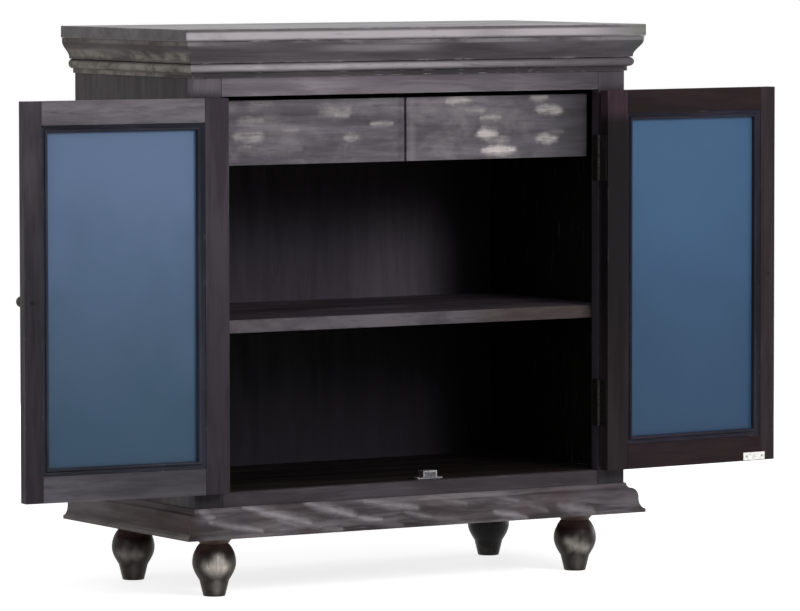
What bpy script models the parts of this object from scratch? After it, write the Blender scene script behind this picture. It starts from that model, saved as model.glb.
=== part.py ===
"""A low cabinet with two panelled doors, two inner drawers, a shelf and four turned feet.

Lengths are in metres. +X runs to the right of someone who faces the cabinet, +Y runs to its back and +Z
is up. The origin is on the floor, under the middle of the top board. The doors stand wide open, folded
back over the face frame, and the drawers are shut.
"""

import math

import bmesh
import bpy
from mathutils import Matrix

# Overall sizes: the top board is the widest and deepest piece
overall_width = 0.875
overall_depth = 0.425
overall_height = 0.914

# Gaps: between pieces that touch, and how far a cutting tool runs past what it cuts
seat_gap = 0.0003
cut_overrun = 0.004

# Edges that turn more than this stay sharp on round pieces
sharp_angle = math.radians(35)

# Top board, and how far it stands out past the body at the front and the sides
top_thickness = 0.0195
top_projection = 0.0265

# Cornice moulding under the top board, from its top down
cornice_setback = 0.0025
cornice_lip_height = 0.0055
ogee_height = 0.0275
neck_projection = 0.0105
neck_height = 0.0015
bead_radius = 0.0080
bead_projection = 0.0120
cornice_foot_height = 0.0075
cornice_foot_projection = 0.0035
ogee_steps = 8
bead_steps = 8

# Plinth moulding round the bottom of the body, from its top down
plinth_height = 0.0485
plinth_ledge = 0.003
hollow_projection = 0.009
hollow_height = 0.0085
ovolo_projection = 0.018
ovolo_height = 0.0145
plinth_quirk_height = 0.002
plinth_toe_height = 0.006
plinth_curve_steps = 4

# Feet: a square block inside the plinth, and below it a turned collar, flare, ball and taper
foot_height = 0.099
foot_block_width = 0.062
foot_side_inset = 0.064
foot_front_inset = 0.0515
foot_back_inset = 0.0755
foot_collar_radius = 0.0315
foot_collar_height = 0.0035
foot_neck_radius = 0.0232
foot_ball_radius = 0.0355
foot_ball_height = 0.054
foot_ball_rise = 0.041
foot_taper_radius = 0.024
foot_taper_height = 0.0255
foot_toe_radius = 0.018
foot_segments = 24
foot_curve_steps = 6

# Carcase boards
side_thickness = 0.018
board_thickness = 0.018
back_thickness = 0.007
back_rabbet_width = 0.009
housing_depth = 0.006
shelf_thickness = 0.021
lower_space_height = 0.254

# Face frame round the doors
frame_thickness = 0.020
frame_stile_width = 0.0515
frieze_height = 0.0305
bottom_rail_reveal = 0.023
tenon_length = 0.022
tenon_thickness = 0.008

# What stands behind the shut doors starts this far behind the face frame's front
inner_setback = 0.026

# Doors, between the stiles of the face frame
door_thickness = 0.020
door_edge_gap = 0.0015
door_meeting_gap = 0.003
door_hinge_stile_width = 0.042
door_meeting_stile_width = 0.030
door_top_rail_width = 0.038
door_bottom_rail_width = 0.042
door_panel_thickness = 0.005
door_panel_setback = 0.005
door_groove_depth = 0.008
door_open_angle = math.radians(184)

# Moulding planted round each panel, on its inner side
moulding_width = 0.012
moulding_edge_height = 0.0085
moulding_hollow_height = 0.0055
moulding_roll_radius = 0.0028
moulding_steps = 6

# Butt hinges: the pin stands proud of the face frame
hinge_gap = 0.0024
hinge_length = 0.076
hinge_end_distance = 0.112
hinge_leaf_depth = 0.0165
hinge_leaf_thickness = 0.0020
hinge_leaf_clearance = 0.0002
hinge_pin_proud = 0.0035
hinge_barrel_radius = 0.0032
hinge_bore_radius = 0.0019
hinge_pin_radius = 0.0016
hinge_knuckle_gap = 0.0004
hinge_knuckles = 5
hinge_segments = 12

# Knobs on the outer faces of the doors
knob_rose_radius = 0.0075
knob_rose_height = 0.003
knob_stem_radius = 0.0045
knob_stem_height = 0.013
knob_head_radius = 0.009
knob_head_height = 0.015
knob_edge_distance = 0.0135
knob_segments = 20
knob_head_steps = 7

# Drawers behind the doors
drawer_top_gap = 0.008
drawer_front_height = 0.104
drawer_front_thickness = 0.018
drawer_middle_gap = 0.004
drawer_hinge_clearance = 0.0016
drawer_apron = 0.0145
drawer_box_drop = 0.014
drawer_side_thickness = 0.012
drawer_back_gap = 0.018
drawer_bottom_thickness = 0.006
drawer_bottom_height = 0.009
drawer_groove_depth = 0.005

# Runners and guides that carry the drawers
runner_thickness = 0.014
runner_ledge = 0.020
guide_height = 0.036
guide_clearance = 0.001
divider_thickness = 0.016

# Magnetic catch on the bottom board, and its strike plate on the right door
catch_offset = 0.046
catch_case_width = 0.026
catch_case_height = 0.0135
catch_case_depth = 0.017
catch_case_wall = 0.0022
catch_ear_width = 0.011
catch_ear_thickness = 0.0022
magnet_clearance = 0.0003
magnet_travel = 0.0012
magnet_length = 0.011
pole_thickness = 0.0015
pole_lead = 0.0015
strike_width = 0.046
strike_height = 0.013
strike_thickness = 0.0012
strike_bottom_distance = 0.0012

# Places that follow from the sizes above
body_half_width = overall_width / 2 - top_projection
front_y = -overall_depth / 2 + top_projection
back_y = overall_depth / 2
frame_back_y = front_y + frame_thickness
inner_front_y = front_y + inner_setback
back_panel_front_y = back_y - back_thickness
boards_back_y = back_panel_front_y - seat_gap
side_inner_x = body_half_width - side_thickness
top_underside = overall_height - top_thickness
cornice_height = cornice_lip_height + ogee_height + neck_height + 2 * bead_radius + cornice_foot_height
cornice_bottom = top_underside - cornice_height
plinth_top = foot_height + plinth_height
opening_half_width = body_half_width - frame_stile_width
opening_bottom = plinth_top + bottom_rail_reveal
opening_top = cornice_bottom - frieze_height
shelf_bottom = opening_bottom + lower_space_height

pin_x = opening_half_width - hinge_gap / 2
pin_y = front_y - hinge_pin_proud
door_near = hinge_gap / 2
door_far = pin_x - door_meeting_gap / 2
door_outer = hinge_pin_proud
door_inner = door_outer + door_thickness
door_bottom = opening_bottom + door_edge_gap
door_top = opening_top - door_edge_gap
panel_outer = door_outer + door_panel_setback
panel_inner = panel_outer + door_panel_thickness
panel_near = door_near + door_hinge_stile_width
panel_far = door_far - door_meeting_stile_width
panel_low = door_bottom + door_bottom_rail_width
panel_high = door_top - door_top_rail_width
hinge_heights = (door_bottom + hinge_end_distance, door_top - hinge_end_distance)

drawer_top = opening_top - drawer_top_gap
drawer_bottom = drawer_top - drawer_front_height
drawer_box_bottom = drawer_bottom + drawer_apron
drawer_end = pin_x - hinge_barrel_radius - drawer_hinge_clearance
drawer_box_start = divider_thickness / 2 + guide_clearance
runner_front_y = inner_front_y + drawer_front_thickness + seat_gap
guide_inner_x = drawer_end + guide_clearance


def clear_scene():
    """Removes the objects that the scene starts with."""
    for item in list(bpy.data.objects):
        bpy.data.objects.remove(item)


def make_material(name, colour, roughness, metallic):
    """One finish: a Principled BSDF with its base colour, roughness and metallic value."""
    material = bpy.data.materials.new(name)
    material.use_nodes = True
    shader = material.node_tree.nodes["Principled BSDF"]
    shader.inputs["Base Color"].default_value = (*colour, 1)
    shader.inputs["Roughness"].default_value = roughness
    shader.inputs["Metallic"].default_value = metallic
    material.diffuse_color = (*colour, 1)
    return material


def worn_wood():
    """Dark stained wood, rubbed through to grey in places."""
    return make_material("worn_wood", (0.060, 0.050, 0.048), 0.55, 0)


def inner_wood():
    """Dark brown stained wood of the inside and the hidden pieces."""
    return make_material("inner_wood", (0.035, 0.022, 0.018), 0.65, 0)


def door_wood():
    """Dark reddish brown wood of the doors."""
    return make_material("door_wood", (0.055, 0.035, 0.032), 0.5, 0)


def blue_paint():
    """Smooth blue paint of the door panels."""
    return make_material("blue_paint", (0.070, 0.140, 0.235), 0.4, 0)


def hinge_steel():
    """Plain steel of the hinges, the catch and its plate."""
    return make_material("hinge_steel", (0.50, 0.49, 0.47), 0.35, 1)


def knob_iron():
    """Dark metal of the knobs."""
    return make_material("knob_iron", (0.045, 0.038, 0.034), 0.45, 1)


def magnet_grey():
    """Grey magnet between its two steel poles."""
    return make_material("magnet_grey", (0.16, 0.16, 0.17), 0.5, 0.6)


def add_object(name, mesh, material=None, parent=None, location=(0, 0, 0)):
    """An object with this mesh in the scene, under its parent."""
    item = bpy.data.objects.new(name, mesh)
    bpy.context.scene.collection.objects.link(item)
    item.location = location
    item.parent = parent
    if material and not mesh.materials:
        mesh.materials.append(material)
    return item


def finished_mesh(name, form):
    """Turns a bmesh into a mesh whose faces point outwards."""
    bmesh.ops.recalc_face_normals(form, faces=form.faces)
    mesh = bpy.data.meshes.new(name)
    form.to_mesh(mesh)
    form.free()
    return mesh


def prism_mesh(name, outline, axis, start, end):
    """Pushes an outline along an axis. Its points are (y, z) along X, (x, z) along Y and (x, y) along Z."""
    form = bmesh.new()
    place = {
        "X": lambda u, v, w: (w, u, v),
        "Y": lambda u, v, w: (u, w, v),
        "Z": lambda u, v, w: (u, v, w),
    }[axis]
    near = [form.verts.new(place(u, v, start)) for u, v in outline]
    far = [form.verts.new(place(u, v, end)) for u, v in outline]
    form.faces.new(near)
    form.faces.new(far)
    for i in range(len(outline)):
        j = (i + 1) % len(outline)
        form.faces.new((near[i], near[j], far[j], far[i]))
    return finished_mesh(name, form)


def box_mesh(name, low, high):
    """A board or block from its lowest corner to its highest."""
    (x0, y0, z0), (x1, y1, z1) = low, high
    return prism_mesh(name, [(x0, y0), (x1, y0), (x1, y1), (x0, y1)], "Z", z0, z1)


def turned_mesh(name, profile, segments):
    """Turns a profile of (radius, height) points, from bottom to top, about the Z axis."""
    form = bmesh.new()
    rings = []
    for radius, height in profile:
        ring = []
        for i in range(segments):
            turn = 2 * math.pi * i / segments
            ring.append(form.verts.new((radius * math.cos(turn), radius * math.sin(turn), height)))
        rings.append(ring)
    form.faces.new(rings[0])
    form.faces.new(rings[-1])
    for lower, upper in zip(rings, rings[1:]):
        for i in range(segments):
            j = (i + 1) % segments
            form.faces.new((lower[i], lower[j], upper[j], upper[i]))
    return finished_mesh(name, form)


def round_off(mesh):
    """Shades round faces smooth and keeps real edges sharp."""
    mesh.shade_smooth()
    mesh.set_sharp_from_angle(angle=sharp_angle)
    return mesh


def worked_mesh(blank, tools, operation):
    """The blank after each tool mesh is cut from it or joined to it. The tools are used up."""
    body = add_object(blank.name + "_blank", blank)
    helpers = [add_object(tool.name + "_tool", tool) for tool in tools]
    for helper in helpers:
        step = body.modifiers.new(helper.name, "BOOLEAN")
        step.operation = operation
        step.object = helper
    bpy.context.view_layer.update()
    graph = bpy.context.evaluated_depsgraph_get()
    mesh = bpy.data.meshes.new_from_object(body.evaluated_get(graph))
    mesh.name = blank.name
    for item in [body, *helpers]:
        bpy.data.objects.remove(item)
    return mesh


def cut_mesh(blank, tools):
    """The blank less each tool."""
    return worked_mesh(blank, tools, "DIFFERENCE")


def joined_mesh(blank, tools):
    """The blank and each tool as one body."""
    return worked_mesh(blank, tools, "UNION")


def add_pivot(name, location, turn=0):
    """An empty on a joint's axis, which carries a moving body."""
    pivot = bpy.data.objects.new(name, None)
    bpy.context.scene.collection.objects.link(pivot)
    pivot.location = location
    pivot.rotation_euler = (0, 0, turn)
    return pivot


def quarter_arc(start, end, steps, bulges):
    """Points of a quarter ellipse between two corners. A bulging one leaves start level, a hollow one leaves it upright."""
    points = []
    for i in range(steps + 1):
        turn = math.pi / 2 * i / steps
        across = math.sin(turn) if bulges else 1 - math.cos(turn)
        down = 1 - math.cos(turn) if bulges else math.sin(turn)
        points.append((start[0] + across * (end[0] - start[0]), start[1] + down * (end[1] - start[1])))
    return points


def double_curve(start, end, steps):
    """Points of an S-shaped curve that leaves both corners upright, as half a cosine wave does."""
    points = []
    for i in range(steps + 1):
        share = i / steps
        across = (1 - math.cos(math.pi * share)) / 2
        points.append((start[0] + across * (end[0] - start[0]), start[1] + share * (end[1] - start[1])))
    return points


def cornice_outline():
    """The cornice's section as (projection, drop) points: lip, ogee, neck, bead and foot."""
    lip = top_projection - cornice_setback
    ogee_end = cornice_lip_height + ogee_height
    bead_start = ogee_end + neck_height
    bead_centre = bead_projection - bead_radius
    bead_end = bead_start + 2 * bead_radius
    points = [(seat_gap, 0), (lip, 0)]
    points += double_curve((lip, cornice_lip_height), (neck_projection, ogee_end), ogee_steps)
    points += [(neck_projection, bead_start)]
    for i in range(bead_steps + 1):
        turn = math.pi * i / bead_steps
        out = bead_centre + bead_radius * math.sin(turn)
        points.append((out, bead_start + bead_radius * (1 - math.cos(turn))))
    points += [(cornice_foot_projection, bead_end), (cornice_foot_projection, cornice_height)]
    points += [(seat_gap, cornice_height)]
    return points


def plinth_outline():
    """The plinth's section as (projection, drop) points: ledge, hollow, ovolo, quirk, flare and toe."""
    hollow_end = (hollow_projection, hollow_height)
    ovolo_end = hollow_height + ovolo_height
    flare_start = (ovolo_projection, ovolo_end + plinth_quirk_height)
    flare_end = (top_projection, plinth_height - plinth_toe_height)
    points = [(seat_gap, 0)]
    points += quarter_arc((plinth_ledge, 0), hollow_end, plinth_curve_steps, False)
    points += quarter_arc(hollow_end, (ovolo_projection, ovolo_end), plinth_curve_steps, True)[1:]
    points += quarter_arc(flare_start, flare_end, plinth_curve_steps, False)
    points += [(top_projection, plinth_height), (seat_gap, plinth_height)]
    return points


def moulding_mesh(name, outline, top, run):
    """A mitred length of moulding on the front (run is 0), the left side (-1) or the right side (1)."""
    form = bmesh.new()
    mitre_gap = seat_gap / math.sqrt(2)
    ends = []
    for end in (-1, 1):
        ring = []
        for out, drop in outline:
            if run == 0:
                place = (end * (body_half_width + out - mitre_gap), front_y - out)
            else:
                y = front_y - out + mitre_gap if end < 0 else back_y
                place = (run * (body_half_width + out), y)
            ring.append(form.verts.new((*place, top - drop)))
        ends.append(ring)
    for ring in ends:
        form.faces.new(ring)
    for i in range(len(outline)):
        j = (i + 1) % len(outline)
        form.faces.new((ends[0][i], ends[0][j], ends[1][j], ends[1][i]))
    return finished_mesh(name, form)


def add_mouldings(prefix, outline, top, material):
    """Front, left and right lengths of one moulding, mitred at the front corners."""
    for suffix, run in (("front", 0), ("left", -1), ("right", 1)):
        name = f"{prefix}_{suffix}"
        add_object(name, moulding_mesh(name, outline, top, run), material)


def add_top_board(material):
    """The top board, whose edge is the cornice's fascia."""
    low = (-overall_width / 2, -overall_depth / 2, top_underside)
    high = (overall_width / 2, overall_depth / 2, overall_height)
    add_object("top_board", box_mesh("top_board", low, high), material)


def add_side_panel(side, material):
    """A side of the carcase, rabbeted for the back and housed for the shelf and the bottom board."""
    name = "side_panel_" + ("left" if side < 0 else "right")
    rabbet_x = side_inner_x + back_rabbet_width
    rabbet_y = back_panel_front_y - seat_gap
    outline = [
        (side * body_half_width, frame_back_y + seat_gap),
        (side * body_half_width, back_y),
        (side * rabbet_x, back_y),
        (side * rabbet_x, rabbet_y),
        (side * side_inner_x, rabbet_y),
        (side * side_inner_x, frame_back_y + seat_gap),
    ]
    blank = prism_mesh(name, outline, "Z", foot_height, top_underside - seat_gap)
    housings = []
    boards = (
        ("floor", opening_bottom - board_thickness, opening_bottom, frame_back_y),
        ("shelf", shelf_bottom, shelf_bottom + shelf_thickness, inner_front_y),
    )
    for label, low_z, high_z, front in boards:
        ends = sorted((side * (side_inner_x - cut_overrun), side * (side_inner_x + housing_depth)))
        low = (ends[0], front - seat_gap, low_z - seat_gap)
        high = (ends[1], back_y + cut_overrun, high_z + seat_gap)
        housings.append(box_mesh(f"{name}_{label}", low, high))
    add_object(name, cut_mesh(blank, housings), material)


def add_boards(material):
    """Bottom board, shelf and back panel."""
    end_x = side_inner_x + housing_depth - seat_gap
    low = (-end_x, frame_back_y + seat_gap, opening_bottom - board_thickness)
    high = (end_x, boards_back_y, opening_bottom)
    add_object("bottom_board", box_mesh("bottom_board", low, high), material)
    low = (-end_x, inner_front_y, shelf_bottom)
    high = (end_x, boards_back_y, shelf_bottom + shelf_thickness)
    add_object("shelf", box_mesh("shelf", low, high), material)
    back_x = side_inner_x + back_rabbet_width - seat_gap
    low = (-back_x, back_panel_front_y, foot_height)
    high = (back_x, back_y, top_underside - seat_gap)
    add_object("back_panel", box_mesh("back_panel", low, high), material)


def hinge_recess(name, side, near, depth_start, height):
    """The shallow housing for one hinge leaf, in the edge at this distance from the pin's plane."""
    floor = hinge_leaf_clearance + hinge_leaf_thickness + seat_gap
    ends = sorted((side * (near - cut_overrun), side * floor))
    low = (ends[0], depth_start - cut_overrun, height - hinge_length / 2 - seat_gap)
    high = (ends[1], depth_start + hinge_leaf_depth + seat_gap, height + hinge_length / 2 + seat_gap)
    return box_mesh(name, low, high)


def add_frame_stile(side, material):
    """An upright of the face frame, with slots for the rails' tenons and recesses for the hinges."""
    name = "frame_stile_" + ("left" if side < 0 else "right")
    ends = sorted((side * opening_half_width, side * body_half_width))
    low = (ends[0], front_y, foot_height)
    high = (ends[1], frame_back_y, top_underside - seat_gap)
    tools = []
    middle_y = (front_y + frame_back_y) / 2
    slot_ends = sorted((side * (opening_half_width - cut_overrun), side * (opening_half_width + tenon_length)))
    slot_y = tenon_thickness / 2 + seat_gap
    slots = (
        ("lower", foot_height - cut_overrun, opening_bottom + seat_gap),
        ("upper", opening_top - seat_gap, top_underside + cut_overrun),
    )
    for label, low_z, high_z in slots:
        slot_low = (slot_ends[0], middle_y - slot_y, low_z)
        slot_high = (slot_ends[1], middle_y + slot_y, high_z)
        tools.append(box_mesh(f"{name}_{label}", slot_low, slot_high))
    for number, height in enumerate(hinge_heights):
        recess = hinge_recess(f"{name}_recess_{number}", side, door_near, front_y, height)
        recess.transform(Matrix.Translation((side * pin_x, 0, 0)))
        tools.append(recess)
    add_object(name, cut_mesh(box_mesh(name, low, high), tools), material)


def add_frame_rail(name, low_z, high_z, material):
    """A rail of the face frame, with a tenon at each end."""
    shoulder = opening_half_width - seat_gap
    tip = opening_half_width + tenon_length - seat_gap
    middle_y = (front_y + frame_back_y) / 2
    cheeks = (middle_y - tenon_thickness / 2, middle_y + tenon_thickness / 2)
    right = [
        (shoulder, front_y),
        (shoulder, cheeks[0]),
        (tip, cheeks[0]),
        (tip, cheeks[1]),
        (shoulder, cheeks[1]),
        (shoulder, frame_back_y),
    ]
    left = [(-x, y) for x, y in reversed(right)]
    add_object(name, prism_mesh(name, right + left, "Z", low_z, high_z), material)


def foot_profile():
    """The turned part of a foot, bottom to top: straight taper, ball, straight flare and collar."""
    points = [(foot_toe_radius, 0)]
    for i in range(foot_curve_steps):
        share = i / foot_curve_steps
        swell = math.sin(math.pi / 2 * share)
        radius = foot_taper_radius + (foot_ball_radius - foot_taper_radius) * swell
        points.append((radius, foot_taper_height + (foot_ball_height - foot_taper_height) * share))
    neck_turn = math.acos(foot_neck_radius / foot_ball_radius)
    for i in range(foot_curve_steps + 1):
        turn = neck_turn * i / foot_curve_steps
        points.append((foot_ball_radius * math.cos(turn), foot_ball_height + foot_ball_rise * math.sin(turn)))
    points.append((foot_collar_radius, foot_height - foot_collar_height))
    points.append((foot_collar_radius, foot_height + cut_overrun))
    return points


def add_feet(material):
    """Four feet, each turned below a square block that is fixed under the bottom board."""
    half = foot_block_width / 2
    block_top = opening_bottom - board_thickness - seat_gap
    block_low = (-half, -half, foot_height)
    block = box_mesh("foot_block", block_low, (half, half, block_top))
    turned = turned_mesh("foot", foot_profile(), foot_segments)
    foot = round_off(joined_mesh(turned, [block]))
    x = body_half_width - foot_side_inset
    for row, y in (("front", front_y + foot_front_inset), ("back", back_y - foot_back_inset)):
        for column, side in (("left", -1), ("right", 1)):
            add_object(f"foot_{row}_{column}", foot, material, location=(side * x, y, 0))


def leaf_plate(name, side):
    """The flat of a hinge leaf beside the pin, on the side that side names, with the pin's axis as origin."""
    ends = sorted((side * hinge_leaf_clearance, side * (hinge_leaf_clearance + hinge_leaf_thickness)))
    low = (ends[0], hinge_barrel_radius + hinge_knuckle_gap, -hinge_length / 2)
    high = (ends[1], hinge_pin_proud + hinge_leaf_depth, hinge_length / 2)
    return box_mesh(name, low, high)


def knuckle_span(number):
    """The lowest and highest point of one knuckle, less half the gap to its neighbours."""
    pitch = hinge_length / hinge_knuckles
    low = -hinge_length / 2 + number * pitch
    return low + hinge_knuckle_gap / 2, low + pitch - hinge_knuckle_gap / 2


def knuckle_mesh(name, number):
    """One knuckle of a hinge barrel."""
    low, high = knuckle_span(number)
    return turned_mesh(name, [(hinge_barrel_radius, low), (hinge_barrel_radius, high)], hinge_segments)


def tang_mesh(name, side, number):
    """The neck that joins one knuckle to the flat of its leaf."""
    low_z, high_z = knuckle_span(number)
    ends = sorted((side * hinge_leaf_clearance, side * (hinge_leaf_clearance + hinge_leaf_thickness)))
    low = (ends[0], hinge_pin_radius, low_z)
    high = (ends[1], hinge_barrel_radius + 2 * hinge_knuckle_gap, high_z)
    return box_mesh(name, low, high)


def frame_leaf_mesh(side):
    """A hinge leaf that holds the pin: its odd knuckles are solid with it."""
    tools = []
    for number in range(0, hinge_knuckles, 2):
        tools.append(knuckle_mesh(f"frame_knuckle_{number}", number))
        tools.append(tang_mesh(f"frame_tang_{number}", side, number))
    low, high = knuckle_span(0)[0], knuckle_span(hinge_knuckles - 1)[1]
    inset = (high - low) / (2 * hinge_knuckles)
    profile = [(hinge_pin_radius, low + inset), (hinge_pin_radius, high - inset)]
    tools.append(turned_mesh("frame_pin", profile, hinge_segments))
    return joined_mesh(leaf_plate("frame_leaf", side), tools)


def door_leaf_mesh(side):
    """A hinge leaf whose knuckles are bored and turn on the pin."""
    tools = []
    for number in range(1, hinge_knuckles, 2):
        tools.append(knuckle_mesh(f"door_knuckle_{number}", number))
        tools.append(tang_mesh(f"door_tang_{number}", side, number))
    leaf = joined_mesh(leaf_plate("door_leaf", side), tools)
    reach = hinge_length / 2 + cut_overrun
    profile = [(hinge_bore_radius, -reach), (hinge_bore_radius, reach)]
    return cut_mesh(leaf, [turned_mesh("door_bore", profile, hinge_segments)])


def add_hinges(side, pivot, material):
    """The two butt hinges of one door: one leaf on the face frame, the other on the door."""
    label = "left" if side < 0 else "right"
    frame_leaf = round_off(frame_leaf_mesh(side))
    door_leaf = round_off(door_leaf_mesh(-side))
    for place, height in zip(("lower", "upper"), hinge_heights):
        location = (side * pin_x, pin_y, height)
        add_object(f"hinge_{label}_{place}_frame_leaf", frame_leaf, material, location=location)
        add_object(f"hinge_{label}_{place}_door_leaf", door_leaf, material, pivot, (0, 0, height))


def door_box(name, side, near, far, outer, inner, low_z, high_z):
    """A box in a shut door, from its distances from the pin, its depths behind the pin and its heights."""
    ends = sorted((-side * near, -side * far))
    return box_mesh(name, (ends[0], outer, low_z), (ends[1], inner, high_z))


def add_door_stile(name, side, hinged, pivot, material):
    """An upright of a door, grooved along its inner edge for the panel and the rails' tongues."""
    outer_edge = door_near if hinged else door_far
    inner_edge = panel_near if hinged else panel_far
    inward = 1 if hinged else -1
    groove_floor = inner_edge - inward * door_groove_depth
    groove = (panel_outer - seat_gap, panel_inner + seat_gap)
    outline = [
        (outer_edge, door_outer),
        (inner_edge, door_outer),
        (inner_edge, groove[0]),
        (groove_floor, groove[0]),
        (groove_floor, groove[1]),
        (inner_edge, groove[1]),
        (inner_edge, door_inner),
        (outer_edge, door_inner),
    ]
    mesh = prism_mesh(name, [(-side * along, deep) for along, deep in outline], "Z", door_bottom, door_top)
    if hinged:
        recesses = [
            hinge_recess(f"{name}_recess_{number}", -side, door_near, door_outer, height)
            for number, height in enumerate(hinge_heights)
        ]
        mesh = cut_mesh(mesh, recesses)
    add_object(name, mesh, material, pivot)


def add_door_rail(name, side, low_z, high_z, panel_edge, pivot, material):
    """A rail of a door, tongued into the stiles and grooved for the panel along the edge at panel_edge."""
    near = panel_near + seat_gap
    far = panel_far - seat_gap
    tongue = door_groove_depth - 2 * seat_gap
    outline = [
        (near, door_outer),
        (far, door_outer),
        (far, panel_outer),
        (far + tongue, panel_outer),
        (far + tongue, panel_inner),
        (far, panel_inner),
        (far, door_inner),
        (near, door_inner),
        (near, panel_inner),
        (near - tongue, panel_inner),
        (near - tongue, panel_outer),
        (near, panel_outer),
    ]
    blank = prism_mesh(name, [(-side * along, deep) for along, deep in outline], "Z", low_z, high_z)
    inward = 1 if panel_edge == low_z else -1
    edges = sorted((panel_edge - inward * cut_overrun, panel_edge + inward * door_groove_depth))
    groove = door_box(
        name + "_groove",
        side,
        near - tongue - cut_overrun,
        far + tongue + cut_overrun,
        panel_outer - seat_gap,
        panel_inner + seat_gap,
        edges[0],
        edges[1],
    )
    add_object(name, cut_mesh(blank, [groove]), material, pivot)


def panel_moulding_outline():
    """The planted moulding's section as (distance in from the frame, height over the panel): hollow and roll."""
    roll_centre = moulding_width - moulding_roll_radius
    roll_base = moulding_edge_height - moulding_roll_radius
    hollow_end = roll_centre - moulding_roll_radius
    points = [(seat_gap, seat_gap), (seat_gap, moulding_edge_height)]
    for i in range(moulding_steps + 1):
        share = i / moulding_steps
        dip = math.sin(math.pi / 2 * share)
        height = moulding_edge_height - (moulding_edge_height - moulding_hollow_height) * dip
        points.append((2 * seat_gap + (hollow_end - 2 * seat_gap) * share, height))
    for i in range(1, moulding_steps + 1):
        turn = math.pi * i / moulding_steps
        rise = moulding_roll_radius * math.sin(turn)
        points.append((roll_centre - moulding_roll_radius * math.cos(turn), roll_base + rise))
    points.append((moulding_width, seat_gap))
    return points


def add_panel_moulding(name, side, pivot, material):
    """The moulding round a panel's inner side, mitred at the corners and glued up as one ring."""
    corners = (
        (panel_near, panel_low, 1, 1),
        (panel_far, panel_low, -1, 1),
        (panel_far, panel_high, -1, -1),
        (panel_near, panel_high, 1, -1),
    )
    outline = panel_moulding_outline()
    form = bmesh.new()
    rings = []
    for along, z, in_along, in_z in corners:
        ring = []
        for inset, height in outline:
            x = -side * (along + in_along * inset)
            ring.append(form.verts.new((x, panel_inner + height, z + in_z * inset)))
        rings.append(ring)
    for start, end in zip(rings, rings[1:] + rings[:1]):
        for i in range(len(outline)):
            j = (i + 1) % len(outline)
            form.faces.new((start[i], start[j], end[j], end[i]))
    add_object(name, finished_mesh(name, form), material, pivot)


def knob_profile():
    """A knob from the door outwards: rose, stem and rounded head."""
    stem_end = seat_gap + knob_rose_height + knob_stem_height
    points = [
        (knob_rose_radius, seat_gap),
        (knob_rose_radius, seat_gap + knob_rose_height / 2),
        (knob_stem_radius, seat_gap + knob_rose_height),
        (knob_stem_radius, stem_end),
    ]
    for i in range(1, knob_head_steps + 1):
        turn = math.pi * (i / (knob_head_steps + 1))
        radius = knob_stem_radius + (knob_head_radius - knob_stem_radius) * math.sin(turn)
        if turn > math.pi / 2:
            radius = knob_head_radius * math.sin(turn)
        points.append((radius, stem_end + knob_head_height * (1 - math.cos(turn)) / 2))
    return points


def add_knob(name, side, pivot, material):
    """A turned knob on the outer face of the door, near its free edge."""
    mesh = turned_mesh(name, knob_profile(), knob_segments)
    mesh.transform(Matrix.Rotation(math.pi / 2, 4, "X"))
    height = (door_bottom + door_top) / 2
    location = (-side * (door_far - knob_edge_distance), door_outer, height)
    add_object(name, round_off(mesh), material, pivot, location)


def add_door(side, wood, paint, steel, iron):
    """A framed door on its pivot, modelled shut and then turned open."""
    label = "left" if side < 0 else "right"
    pivot = add_pivot(f"door_{label}_pivot", (side * pin_x, pin_y, 0), side * door_open_angle)
    prefix = f"door_{label}_"
    add_door_stile(prefix + "hinge_stile", side, True, pivot, wood)
    add_door_stile(prefix + "meeting_stile", side, False, pivot, wood)
    add_door_rail(prefix + "top_rail", side, panel_high, door_top, panel_high, pivot, wood)
    add_door_rail(prefix + "bottom_rail", side, door_bottom, panel_low, panel_low, pivot, wood)
    hold = door_groove_depth - seat_gap
    panel = door_box(
        prefix + "panel",
        side,
        panel_near - hold,
        panel_far + hold,
        panel_outer,
        panel_inner,
        panel_low - hold,
        panel_high + hold,
    )
    add_object(prefix + "panel", panel, paint, pivot)
    add_panel_moulding(prefix + "panel_moulding", side, pivot, wood)
    add_knob(prefix + "knob", side, pivot, iron)
    add_hinges(side, pivot, steel)
    return pivot


def add_strike_plate(pivot, material):
    """The plate on the right door that the magnet pulls."""
    middle = pin_x - catch_offset
    low_z = door_bottom + strike_bottom_distance
    mesh = door_box(
        "strike_plate",
        1,
        middle - strike_width / 2,
        middle + strike_width / 2,
        door_inner + seat_gap,
        door_inner + seat_gap + strike_thickness,
        low_z,
        low_z + strike_height,
    )
    add_object("strike_plate", mesh, material, pivot)


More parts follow.
